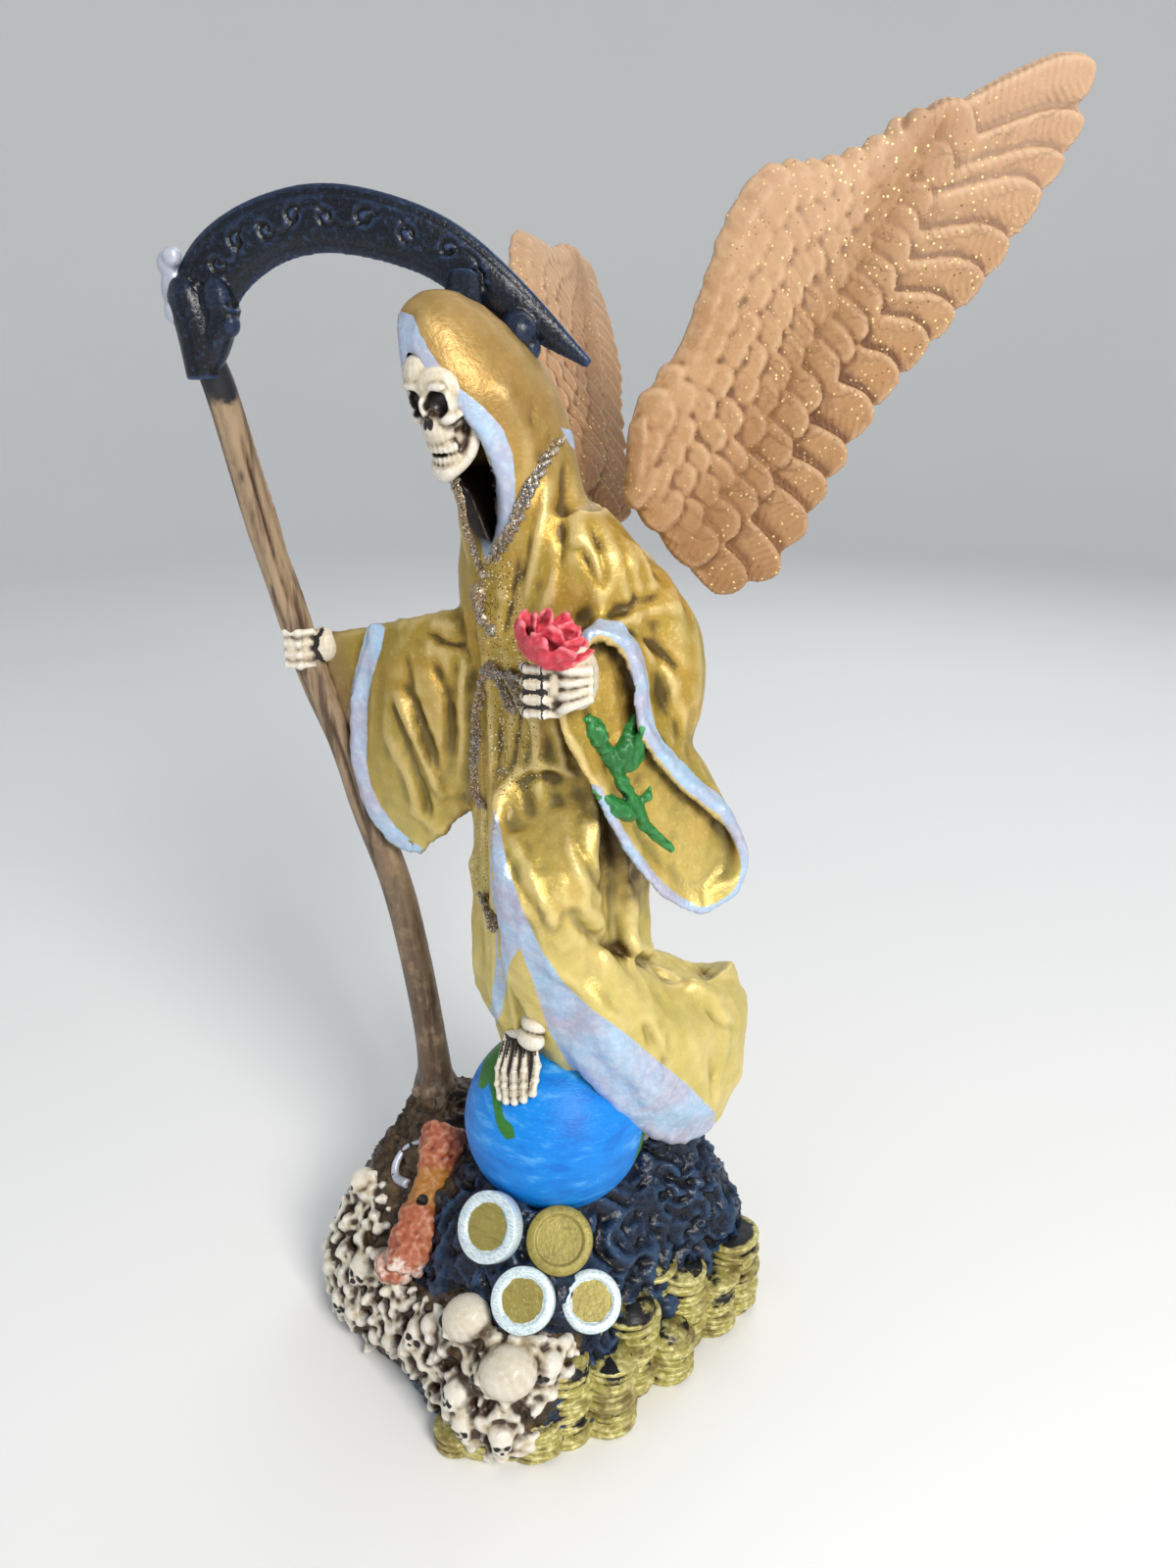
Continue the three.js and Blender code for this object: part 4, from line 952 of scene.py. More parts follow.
# Globe
# A resin ball, cast with the heap it is bedded in and brushed bright blue. One green land runs
# by the foot, and two more lie where the picture doesn't show them.
globe_centre, globe_radius = np.array((20.4, -3.8, 79.8)), 26.5
globe = finished("globe", blob(globe_centre, globe_radius, None, 96))
globe_skin = skin_of(globe)
land_outline = [
    (524, 1056), (506, 1064), (493, 1083), (487, 1110), (494, 1112), (500, 1103), (503, 1130),
    (508, 1152), (516, 1164), (526, 1161), (524, 1149), (514, 1141), (511, 1120), (513, 1098), (520, 1075)]
land_front = patch(globe, [land_outline])
land_back = band(globe, [([(34, 18, 90), (40, 14, 84), (42, 8, 74)], 5),
                         ([(-2, 12, 88), (-4, 4, 80), (0, -2, 70)], 5)])
marked(globe, "land", np.minimum(np.where(land_front > -8, 1 - land_front / 8, 3), land_back))
marked(globe, "wash_and_shade", np.zeros(len(globe.data.vertices)))
marked(globe, "shelter", np.zeros(len(globe.data.vertices)))
blue, tree, spots, tone, bump, gloss = painted(
    "blue_paint", plain=(0.0, 0.2, 0.7, 1), other=(0.0, 0.25, 0.8, 1), deep=(0, 0.05, 0.25, 1),
    rubbed_and_sheen=(0.06, 0.42, 0.9, 1), rough=0.42, brush=(1, 1, 3))
ragged = summed(tree, mark(tree, "land"), ranged(tree, mottle(tree, spots, 300), 0, 1, -0.25, 0.25))
green = layer(tree, (0.015, 0.12, 0.015, 1), (0.05, 0.26, 0.035, 1), mottle(tree, spots, 500))
strokes = mottle(tree, spots, 90, 5, (1, 1, 3.5))
tone = layer(tree, tone, (0.0, 0.1, 0.5, 1), ranged(tree, strokes, 0.5, 0.36, 0, 0.5))
tone = layer(tree, tone, (0.2, 0.6, 1, 1), ranged(tree, strokes, 0.56, 0.72, 0, 0.5))
tone = layer(tree, tone, green, ranged(tree, ragged, 1.08, 0.92))
shown(tree, node(tree, "BsdfPrincipled", {
    "Base Color": tone, "Roughness": gloss, "Normal": bump, "Specular IOR Level": 0.35}))
globe.data.materials.append(blue)
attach(globe, "root")
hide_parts("figure")

# Bony foot
# The left foot's bones come out from under the hem and lie on the globe. They are cast with both,
# and painted bone white with a brown wash; their hollows also carry painted shade.
toe_tips = [(513, 1120), (519, 1124), (527, 1125), (536, 1123), (545, 1117)]
toe_middles = [(512, 1108), (519, 1110), (528, 1111), (537, 1110), (548, 1105)]
toe_roots = [(514, 1094), (520, 1096), (529, 1097), (538, 1096), (550, 1092)]
instep = [(527, 1070), (532, 1069), (538, 1068), (544, 1069), (551, 1071)]


def laid(pixels, lift):
    """Spots a little above the globe's skin, by picture spots on it"""
    return [spot + (spot - globe_centre) / globe_radius * lift for spot in picked(globe_skin, pixels)]


foot_shapes = [rod([(24, -8, 138), (24.5, -12, 128), (25.5, -15, 119)], [3.2, 2.4, 3]),
               blob((25, -15.4, 117.5), (4.2, 3.6, 3.2)), blob((25.4, -17.5, 113.6), (4.6, 3.2, 3))]
toe_lines = []
for tip, middle, root, start in zip(laid(toe_tips, 1.2), laid(toe_middles, 1.9), laid(toe_roots, 2.4),
                                    laid(instep, 5.5)):
    toe_lines.append([start, (start + root) / 2, root, middle, tip])
    foot_shapes += [
        rod([start, (start + root) / 2 + (0, -0.4, 0.6), root], [1.15, 0.7, 1.05], 10, 16),
        rod([root, middle, tip], [1.05, 0.75, 0.95], 10, 14),
        rod([(25.2, -16.5, 115), start], [1.6, 1.3], 10, 10),
        blob(root, 1.3, None, 10), blob(middle, 1.15, None, 10), blob(tip, 1.2, None, 10)]
foot_shapes += [sheet(one, other, 1.2) for one, other in zip(toe_lines, toe_lines[1:])]
foot = cast("foot", foot_shapes, grain_size=0.36, rounding=1)
# The gaps between the toes are brown; the shin up in the robe is just as dark, which is painted shade
apart = band(foot, [(line, 1.0) for line in toe_lines])
high = spots_of(foot)[:, 2] / mm
marked(foot, "gloom", np.where((high > 122) | ((apart > 1.25) & (high < 110)), 0.8, 2.0))
marked_wash_and_shade(foot, reach=3.5, rays=14, rounds=6, scale=0.06)
foot.data.materials.append(bone)
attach(foot, "root")
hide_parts("figure")

# Rose and its stem
# A coral red rose over the left hand, its green stem and leaves lying in the sleeve's mouth. Both
# are carved with the figure and painted by hand.
rose_middle = np.array((44.2, -25.6, 229.0))
petals = [blob(rose_middle + (0, 0, -0.8), (5.2, 5.2, 4.6), None, 14)]
petal_draw = random.Random(4)
petal_rings = [(3, 2.2, 7.6, 0.2), (5, 4.4, 7.6, 0.4), (7, 6.6, 7, 0.65)]
for ring, (count, reach, tall, lean) in enumerate(petal_rings):
    for k in range(count):
        turn = 2 * math.pi * (k + 0.4 * ring) / count + petal_draw.uniform(-0.15, 0.15)
        spot = rose_middle + (reach * math.cos(turn), reach * math.sin(turn), 0.9 - 1.5 * ring)
        petals.append(blob(spot, (0.9, 3.4, tall * 0.74), (
            petal_draw.uniform(-0.3, 0.3), lean, turn + petal_draw.uniform(-0.3, 0.3)), 14))
lean_right = Matrix.Rotation(-0.5, 4, Vector(toward))
about = Matrix.Translation(Vector(rose_middle) * mm)
for petal in petals:
    bmesh.ops.transform(petal, matrix=about @ lean_right @ about.inverted(), verts=petal.verts)
rose = cast("rose", petals, grain_size=0.4, rounding=1)
spots, normals = spots_of(rose) / mm, spots_of(rose, "normal")
ruffle = np.array([noise.noise(Vector(s) * 0.5) for s in spots])
shifted(rose, spots + normals * (0.7 * ruffle)[:, None])
marked_wash_and_shade(rose, reach=4, rays=12, rounds=5, scale=0.2)
coral, tree, spots, tone, bump, gloss = painted(
    "coral_paint", plain=(0.72, 0.05, 0.085, 1), other=(0.6, 0.035, 0.06, 1), deep=(0.16, 0.012, 0.02, 1),
    rubbed_and_sheen=(0.95, 0.28, 0.33, 1), rough=0.5, wash_and_shade=0.8, closed=(0.4, 0.8))
shown(tree, node(tree, "BsdfPrincipled", {"Base Color": tone, "Roughness": gloss, "Normal": bump}))
rose.data.materials.append(coral)
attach(rose, "root")
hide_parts("figure")

stem_lines = [
    ([(597, 730), (613, 755), (630, 789), (645, 817), (660, 843), (686, 868)],
     [1.6, 1.9, 1.7, 1.9, 1.7, 1.0]),
    ([(598, 732), (606, 745), (616, 764)], [1, 3, 2]),
    ([(630, 790), (636, 765), (648, 728)], [0.8, 2.6, 0.5]),
    ([(634, 788), (646, 772), (655, 742)], [0.8, 2.6, 0.6]),
    ([(652, 833), (632, 826), (606, 806)], [0.8, 2.7, 0.7]),
    ([(648, 822), (660, 812), (664, 802)], [0.8, 1.4, 0.5])]
stem_shapes = []
for pixels, radii in stem_lines:
    path = picked(skin, pixels)
    if len(path) > 1:
        widths = np.interp(np.linspace(0, 1, len(path)), np.linspace(0, 1, len(radii)), radii)
        stem_shapes.append(rod(path, widths, 10, 24))
stem = cast("rose_stem", stem_shapes, grain_size=0.42, rounding=1)
spots, normals = spots_of(stem) / mm, spots_of(stem, "normal")
ruffle = np.array([noise.noise(Vector(s) * 0.5) for s in spots])
shifted(stem, spots + normals * (0.6 * ruffle)[:, None])
marked_wash_and_shade(stem, reach=4, rays=10, rounds=5, scale=0.3)
leaf, tree, spots, tone, bump, gloss = painted(
    "leaf_paint", plain=(0.01, 0.12, 0.02, 1), other=(0.02, 0.2, 0.04, 1), deep=(0.004, 0.025, 0.008, 1),
    rubbed_and_sheen=(0.1, 0.5, 0.18, 1), rough=0.35)
shown(tree, node(tree, "BsdfPrincipled", {"Base Color": tone, "Roughness": gloss, "Normal": bump}))
stem.data.materials.append(leaf)
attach(stem, "root")
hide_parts("figure")

# Scythe
# A crooked wooden staff that spreads into roots, and a broad curved blade, black and engraved.
# The blade meets the hood's top, and a silver knob ends the staff.
staff_points = [
    (-28.3, -10, 62), (-29, -10.6, 84), (-31.4, -13.1, 114), (-34.6, -16.3, 140), (-39.6, -21, 163),
    (-43.4, -25.1, 184), (-47.7, -30.9, 205), (-50, -36.5, 228), (-51.4, -41.6, 250),
    (-50.4, -49.1, 280), (-50.4, -53.4, 293)]
staff_radii = [6.6, 4.9, 4.7, 4.7, 4.6, 4.4, 4.3, 4.1, 4, 3.8, 3.9]
staff_shapes = [rod(staff_points, staff_radii, 24, 160)]
for x, y, z in [(-36, -13, 60), (-24, -18, 61), (-25, -2, 62), (-34, -5, 60), (-20, -13, 62)]:
    staff_shapes.append(rod([(-29, -11, 84), ((x - 29) / 2, (y - 11) / 2, 71), (x, y, z)],
                            [2.4, 2.8, 2.2], 10, 14))
root_draw = random.Random(8)
for k in range(16):
    turn = root_draw.uniform(0, 2 * math.pi)
    out = root_draw.uniform(3, 9)
    staff_shapes.append(blob((-27 + out * math.cos(turn), -12 + out * math.sin(turn), 76 - 1.3 * out),
                             root_draw.uniform(1.4, 2.8), None, 10))
staff = cast("staff", staff_shapes, grain_size=0.72, rounding=1)
grain_lines = []
for k in range(40):
    turn, start = root_draw.uniform(0, 2 * math.pi), root_draw.uniform(0, 0.8)
    line = []
    for step in range(6):
        spot = smooth_path(staff_points, np.array([min(1, start + 0.04 * step)]))[0]
        line.append(spot + 4.4 * np.array((math.cos(turn + 0.08 * step), math.sin(turn + 0.08 * step), 0)))
    grain_lines.append((line, root_draw.choice((-0.6, 0.4)), 0.75))
carved(staff, grain_lines)
marked_wash_and_shade(staff, reach=4, rays=8, rounds=8, scale=0.12)
marked(staff, "up", spots_of(staff)[:, 2] / mm)
wood, tree, spots, tone, bump, gloss = painted(
    "wood_paint", plain=(0.15, 0.09, 0.045, 1), other=(0.24, 0.155, 0.085, 1), deep=(0.03, 0.016, 0.01, 1),
    rubbed_and_sheen=(0.42, 0.31, 0.2, 1), rough=0.45, brush=(3, 3, 0.25))
blot = summed(tree, mark(tree, "up"), ranged(tree, mottle(tree, spots, 120), 0, 1, -8, 8))
runs = mottle(tree, spots, 240, 3, (1, 1, 0.12))
tone = layer(tree, tone, (0.045, 0.022, 0.01, 1), ranged(tree, runs, 0.5, 0.62, 0, 0.8))
tone = layer(tree, tone, (0.42, 0.3, 0.19, 1), ranged(tree, runs, 0.44, 0.32, 0, 0.5))
tone = layer(tree, tone, (0.01, 0.011, 0.016, 1), ranged(tree, blot, 277, 280))
blotch = summed(tree, ranged(tree, blot, 200, 100, 0, 1), ranged(
    tree, mottle(tree, spots, 200), 0.3, 0.5, 0, 1), "MULTIPLY")
tone = layer(tree, tone, (0.045, 0.022, 0.009, 1), summed(tree, blotch, 0.7, "MULTIPLY"))
shown(tree, node(tree, "BsdfPrincipled", {"Base Color": tone, "Roughness": gloss, "Normal": bump}))
staff.data.materials.append(wood)
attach(staff, "root")
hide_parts("figure")

blade_points = [
    (-50.2, -53.6, 297.5), (-44.5, -48.2, 309), (-34.5, -39.5, 316.5), (-22, -29.3, 318.3),
    (-6, -16, 312.8), (7, -5.5, 301.5), (21, 9.4, 286.5)]
blade_shares = [1.02, 1.06, 1, 0.99, 0.92, 0.78, 0.16]
blade_width, blade_thickness = 15.2, 5
blade_away = np.array((-1, 1, 0)) / math.sqrt(2)


def on_blade(share, across, off):
    """Spots in the blade: share of its length, -1 to 1 across, and -1 to 1 through its thickness"""
    share = np.asarray(share, float)
    along = smooth_path(blade_points, share + 1e-3) - smooth_path(blade_points, share - 1e-3)
    along /= np.linalg.norm(along, axis=1)[:, None]
    side = np.cross(blade_away, along)
    side /= np.linalg.norm(side, axis=1)[:, None]
    wide = smooth_path([[s] for s in blade_shares], share)[:, 0]
    return (smooth_path(blade_points, share) + side * (across * blade_width * wide / 2)[:, None]
            + blade_away * (off * blade_thickness / 2 * np.minimum(1, wide + 0.2))[:, None])


def blade_skin(angle, share):
    """The blade's section: a thick back and a thin edge"""
    across = np.sign(np.cos(angle)) * np.abs(np.cos(angle)) ** 0.8
    off = np.sin(angle) * np.where(across > 0, 0.55 + 0.45 * np.sqrt(np.clip(1 - across, 0, 1)), 1)
    return on_blade(share, across, off)


blade = cast("blade", [
    bent(blade_skin, 48, 180),
    rod([(3.5, -14, 306), (5, -16, 301), (5.5, -18.5, 297)], [3.4, 4.6, 6], 14, 14),
    blob((12.5, -6, 293.5), (5, 4.6, 5)), blob((14.5, -4.5, 290), (3.4, 3, 3.2)),
    rod([(-50.4, -52.9, 283), (-50.4, -53.4, 294), (-51.5, -54.6, 302), (-52.3, -55, 306)],
        [4.2, 5, 4.8, 3], 16, 24),
    blob((-45.5, -50.5, 301), (4.8, 3.6, 5.6)), blob((-43, -49.2, 295.5), (3.2, 2.8, 3.2)),
    rod([(-44, -49, 300), (-46.5, -50.5, 292), (-49, -52, 286)], [4, 3.6, 3], 12, 12)],
    grain_size=0.55, rounding=1)
scrolls = []
for k in range(10):
    start = 0.08 + 0.078 * k
    flip = 1 if k % 2 else -1
    turn = np.linspace(0, 2.4 * np.pi, 18)
    radius = 0.55 * (1 - turn / (2.9 * np.pi))
    scrolls.append((on_blade(start + 0.042 * radius * np.cos(turn), flip * (
        0.05 + 0.6 * radius * np.sin(turn)) - 0.1, -np.ones(18)), -0.8, 0.45))
vine = np.linspace(0.06, 0.85, 60)
scrolls.append((on_blade(vine, 0.35 * np.sin(40 * vine) - 0.1, -np.ones(60)), -0.5, 0.4))
for edge in (0.7, -0.76):
    line = np.linspace(0.06, 0.95, 40)
    scrolls.append((on_blade(line, edge * np.ones(40), -0.8 * np.ones(40)), -0.4, 0.5))
carved(blade, scrolls)
marked_wash_and_shade(blade, reach=2, rays=6, rounds=4, scale=0.2)
# The blade's edges and ridges are lit blue: painted sheen
black, tree, spots, tone, bump, gloss = painted(
    "black_paint", plain=(0.004, 0.005, 0.008, 1), other=(0.006, 0.009, 0.016, 1),
    deep=(0.001, 0.001, 0.002, 1), rubbed_and_sheen=(0.05, 0.1, 0.25, 1), rough=0.28)
shown(tree, node(tree, "BsdfPrincipled", {
    "Base Color": tone, "Roughness": gloss, "Normal": bump, "Specular IOR Level": 0.35}))
blade.data.materials.append(black)
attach(blade, "root")
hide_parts("figure")

knob = cast("butt_knob", [
    blob((-54.5, -56, 303.5), (3.6, 3.2, 5.4)), blob((-54.5, -57, 309), (3.2, 2.6, 3.2)),
    blob((-53.5, -57.2, 298.5), (3.2, 2.4, 3.2)), blob((-51.5, -57.4, 310.5), (2.6, 2.2, 2.4))],
    grain_size=0.45, rounding=1)
marked_wash_and_shade(knob, reach=3, rays=8, rounds=5, scale=0.3)
silver_coat, tree, spots, tone, bump, gloss = painted(
    "silver_paint", plain=(0.45, 0.46, 0.55, 1), other=(0.6, 0.66, 0.8, 1), deep=(0.1, 0.09, 0.12, 1),
    rubbed_and_sheen=(0.9, 0.92, 0.97, 1), rough=0.4)
shown(tree, node(tree, "BsdfPrincipled", {
    "Base Color": tone, "Metallic": 0.4, "Roughness": gloss, "Normal": bump}))
knob.data.materials.append(silver_coat)
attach(knob, "root")
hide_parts("figure")

# Rock heap
# The figure stands on a heap of rough rock, cast in one with it. It is painted glossy blue-black,
# and brown on its right flank and under the bones.
base_wide, base_deep, rim_high, heap_high = 110, 114, 20, 64
plan_shares = [1, 1.05, 1.3, 1.1, 1, 1.04, 1.12, 1.05, 1, 1.05, 1.12, 1, 0.9, 1.03, 1.22, 1.09]
crags = [(-0.51, -0.18, 0.2, 0.17), (0.65, 0.7, 0.22, 0.27), (0.6, -0.4, 0.09, 0.22)]


def plan_reach(angle):
    """How far the heap's outline lies from its middle"""
    share = smooth_path([[s] for s in plan_shares], (angle / (2 * np.pi)) % 1, True)[..., 0]
    return share / np.hypot(np.cos(angle) / (base_wide / 2), np.sin(angle) / (base_deep / 2))


def heap_top(x, y):
    """The heap's height over a spot of its plan"""
    out = np.hypot(x, y) / plan_reach(np.arctan2(y, x))
    high = rim_high + (heap_high - rim_high) * np.maximum(0, 1 - out ** 4)
    for mid_x, mid_y, rise, spread in crags:
        far = np.hypot(2 * x / base_wide - mid_x, 2 * y / base_deep - mid_y) / spread
        high = high + rise * heap_high * np.exp(-0.5 * far * far)
    return high


def heap_skin(angle, share):
    """The heap's wall, and then its top from the rim to the middle"""
    reach = plan_reach(angle)
    wall = share < 0.25
    climb = np.where(wall, 1, 1 - (share - 0.25) / 0.75)
    out = np.where(wall, 0.95 + 0.05 * np.clip(share / 0.06, 0, 1), np.maximum(0.02, climb) ** 0.75)
    x, y = np.cos(angle) * reach * out, np.sin(angle) * reach * out
    return np.stack([x, y, np.where(wall, share / 0.25 * rim_high, heap_top(x, y))], 1)


heap = cast("rock", [bent(heap_skin, 120, 80)], grain_size=1.1, rounding=1)
spots, normals = spots_of(heap) / mm, spots_of(heap, "normal")


def crumple(spot):
    """How far the rock stands out: sharp bent ridges over broad lumps"""
    broad = 1.6 * noise.noise(spot * 0.08)
    warp = noise.noise_vector(spot * 0.07) * 2
    ridge = 4.4 * (0.36 - abs(noise.noise(spot * 0.12 + warp)))
    fine = 2.4 * (0.36 - abs(noise.noise(spot * 0.3 + warp * 2)))
    return broad + ridge + fine + 0.6 * noise.noise(spot * 0.8) - 2.2


rough = np.array([crumple(Vector(spot)) for spot in spots])
coin_beds = picked(skin_of(heap), [(500, 1252), (571, 1266), (534, 1327), (603, 1328)])
far = np.min([np.linalg.norm(spots - bed, axis=1) for bed in coin_beds], axis=0)
rough *= np.clip(spots[:, 2] / 4, 0, 1) * np.clip((far - 7) / 5, 0.1, 1)
spots += normals * rough[:, None]
spots[:, 2] = np.maximum(spots[:, 2], 0)
shifted(heap, spots)
marked_wash_and_shade(heap, reach=6, rays=8, rounds=8, scale=0.5)
pile_outline = [
    (372, 1192), (392, 1200), (398, 1240), (392, 1290), (440, 1330), (470, 1320), (510, 1362),
    (590, 1366), (585, 1400), (562, 1430), (535, 1478), (500, 1492), (470, 1480), (452, 1455),
    (438, 1410), (400, 1385), (350, 1352), (332, 1300), (332, 1245), (352, 1205)]
marked(heap, "earth", np.where(
    patch(heap, [pile_outline]) > -6, -30, spots[:, 0] * 0.7 + spots[:, 1] * 0.1 - spots[:, 2] * 0.25))
# The rock's ridges and edges are lit blue: painted sheen
rock, tree, spots, tone, bump, gloss = painted(
    "rock_paint", plain=(0.003, 0.007, 0.02, 1), other=(0.006, 0.015, 0.04, 1), deep=(0.001, 0.001, 0.002, 1),
    rubbed_and_sheen=(0.035, 0.085, 0.18, 1), rough=0.28, wash_and_shade=0.95, closed=(0.15, 0.55))
left_flank = summed(tree, mark(tree, "earth"), ranged(tree, mottle(tree, spots, 90), 0, 1, -9, 9))
umber = layer(tree, (0.025, 0.014, 0.007, 1), (0.13, 0.08, 0.035, 1), ranged(
    tree, mottle(tree, spots, 260), 0.4, 0.7))
tone = layer(tree, tone, umber, ranged(tree, left_flank, -14, -20))
shown(tree, node(tree, "BsdfPrincipled", {
    "Base Color": tone, "Roughness": gloss, "Normal": bump, "Specular IOR Level": 0.35}))
heap.data.materials.append(rock)
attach(heap, "root")
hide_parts("figure")


# Coins and coin stacks
# Four big coins lean on the rock, and columns of thin coins stand round its left side, in dull
# gold paint with black between them. Some of the big ones have silver rims.
def disc(centre, normal, radius, thick, rim, sides=40):
    """A coin: a spun profile, with a raised rim if one is given, its face along the normal"""
    bm = bmesh.new()
    low, high, field = -thick / 2, thick / 2, thick * 0.32
    profile = [(0, low), (radius - 0.3, low), (radius, low + 0.3), (radius, high - 0.3),
               (radius - 0.3, high)]
    profile += [(radius - rim + 0.3, high), (radius - rim, high), (radius - rim - 0.4, field),
                (radius - rim - 0.8, field), (0, field)] if rim else [(0, high)]
    row = [bm.verts.new((x * mm, 0, z * mm)) for x, z in profile]
    edges = [bm.edges.new(pair) for pair in zip(row, row[1:])]
    bmesh.ops.spin(bm, geom=row + edges, axis=(0, 0, 1), cent=(0, 0, 0), angle=2 * math.pi,
                   steps=sides, use_merge=True)
    bmesh.ops.remove_doubles(bm, verts=bm.verts, dist=1e-7)
    bmesh.ops.recalc_face_normals(bm, faces=bm.faces)
    turn = Vector(normal).to_track_quat("Z", "Y").to_matrix().to_4x4()
    bmesh.ops.transform(bm, matrix=Matrix.Translation(Vector(centre) * mm) @ turn, verts=bm.verts)
    return bm


coin_gold, tree, spots, tone, bump, gloss = painted(
    "coin_paint", plain=(0.36, 0.3, 0.07, 1), other=(0.27, 0.22, 0.05, 1), deep=(0.02, 0.018, 0.012, 1),
    rubbed_and_sheen=(0.66, 0.58, 0.24, 1), rough=0.45)
strokes = mottle(tree, spots, 160, 3, (1, 4, 9))
tone = layer(tree, tone, (0.12, 0.1, 0.03, 1), ranged(tree, strokes, 0.55, 0.7, 0, 0.5))
ragged = summed(tree, mark(tree, "rim"), ranged(tree, mottle(tree, spots, 300), 0, 1, -0.08, 0.08))
pale_rim = layer(tree, (0.42, 0.56, 0.62, 1), (0.82, 0.92, 0.95, 1), ranged(
    tree, mottle(tree, spots, 600, 4, (1, 3, 6)), 0.35, 0.6))
tone = layer(tree, tone, pale_rim, ranged(tree, ragged, 0.67, 0.7))
shown(tree, node(tree, "BsdfPrincipled", {
    "Base Color": tone, "Metallic": 0.25, "Roughness": gloss, "Normal": bump}))
heap_seen = skin_of(heap)
for number, (x, y, radius, silvered, lean) in enumerate([
        (500, 1252, 9.6, 1, (-0.45, -0.45, 0)), (571, 1266, 9.2, 0, (0, 0, 0.1)),
        (534, 1327, 8.6, 1, (-0.1, -0.1, 0)), (603, 1328, 8.3, 1, (0.1, 0.05, 0.1))]):
    hit = heap_seen.ray_cast(camera.location, picture_ray(x, y))[0]
    view = (camera.location - hit).normalized()
    middle = np.array(hit) / mm + np.array(view) * 2.6
    coin = finished(f"coin_{number + 1}", disc(
        middle, (view + Vector(lean)).normalized(), radius, 4.4, radius * 0.26, 64), coin_gold)
    out = np.linalg.norm(spots_of(coin) / mm - middle, axis=1) / radius
    marked(coin, "rim", out * silvered)
    marked(coin, "wash_and_shade", 0 * out)
    marked(coin, "shelter", 0 * out)
    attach(coin, "root")
    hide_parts("figure")

pile_draw = random.Random(11)
widest = 64.4
columns = [
    (48, -28, 26, 9), (50, -3, 29, 9), (49, 20, 28, 9), (51, 43, 28, 9), (40, -40, 18, 9),
    (55.5, 8, 17, 8), (54, -16, 22, 8.5), (53, 32, 20, 8), (47, -38, 13, 8), (33, 56, 22, 8),
    (36, -47, 8, 8), (44, 12, 31, 8), (44, -16, 29, 8), (30, -52, 6, 7)]
piles = []
for x, y, top, radius in columns:
    x = min(x, widest - 0.6 - radius)
    piles.append(rod([(x, y, 0.5), (x, y, top / 2), (x, y, top)], [radius - 1.6] * 3, 16, 8))
    z = 1.4
    while z < top:
        shift = [pile_draw.uniform(-0.8, 0.8) for _ in range(2)]
        tilt = (pile_draw.uniform(-0.12, 0.12), pile_draw.uniform(-0.12, 0.12), 1)
        wide = radius + pile_draw.uniform(-0.9, 0.3)
        piles.append(disc((min(x + shift[0], widest - wide), y + shift[1], z), tilt, wide, 1.4, 0, 22))
        z += 2.0
stacks = finished("coin_stacks", joined(piles))
spots = spots_of(stacks) / mm
spots[:, 2] = np.maximum(spots[:, 2], 0)
shifted(stacks, spots)
marked(stacks, "inward", np.min([
    np.abs(np.hypot(spots[:, 0] - min(x, widest - 0.6 - radius), spots[:, 1] - y) - radius)
    + np.where(spots[:, 2] > top + 1, 4, 0) for x, y, top, radius in columns], axis=0))
stack_gold, tree, spots = surface("stack_paint")
worn = summed(tree, mark(tree, "inward"), ranged(tree, mottle(tree, spots, 160), 0, 1, -2.4, 2.4))
strokes = mottle(tree, spots, 500, 4)
tone = layer(tree, (0.42, 0.37, 0.1, 1), (0.78, 0.72, 0.34, 1), ranged(tree, strokes, 0.45, 0.65))
tone = layer(tree, tone, (0.22, 0.16, 0.05, 1), ranged(tree, mottle(tree, spots, 110), 0.5, 0.66))
tone = layer(tree, tone, (0.008, 0.008, 0.009, 1), ranged(tree, worn, 1.1, 1.7))
bump = node(tree, "Bump", {"Height": strokes, "Strength": 0.6, "Distance": 0.0005})
shown(tree, node(tree, "BsdfPrincipled", {
    "Base Color": tone, "Metallic": 0.25, "Roughness": ranged(tree, strokes, 0.3, 0.7, 0.32, 0.5),
    "Normal": bump.outputs[0]}))
stacks.data.materials.append(stack_gold)
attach(stacks, "root")
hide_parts("figure")

# Skulls and bones on the heap
# Small skulls, beads and bones crowd the front side of the heap. They are cast with it and
# painted cream over a dark brown wash, with painted shade in the gaps between them.
small_skulls = [
    ((521, 1402), 8.6, (0.3, 0.25, -1.05)), ((480, 1346), 7.4, (0.5, 0.3, -0.7)),
    ((376, 1290), 5.6, (0.2, 0.3, 0.1)), ((372, 1206), 4.6, (0, 0, -0.6)), ((340, 1256), 5, (0, 0.4, -0.9)),
    ((470, 1420), 5, (0, 0.2, -0.3)), ((478, 1448), 4.6, (0.3, -0.3, 0.2)), ((428, 1356), 4.6, (0, 0.5, 0.4)),
    ((352, 1322), 4.2, (0.2, 0, 0.5)), ((404, 1366), 4, (0.4, 0.2, -0.2)), ((512, 1462), 4.4, (0.3, 0, 0.9)),
    ((560, 1392), 4.2, (0.2, 0.2, 0.3))]
bone_shapes, bone_cutters, glooms = [], [], []
for (x, y), size, turn in small_skulls:
    for spot in picked(heap_seen, [(x, y)]):
        parts, cuts, gloom = skull_parts(spot + toward * 1.5, size, turn, False)
        bone_shapes += parts
        bone_cutters += cuts
        glooms.append(gloom)
bead_draw = random.Random(5)
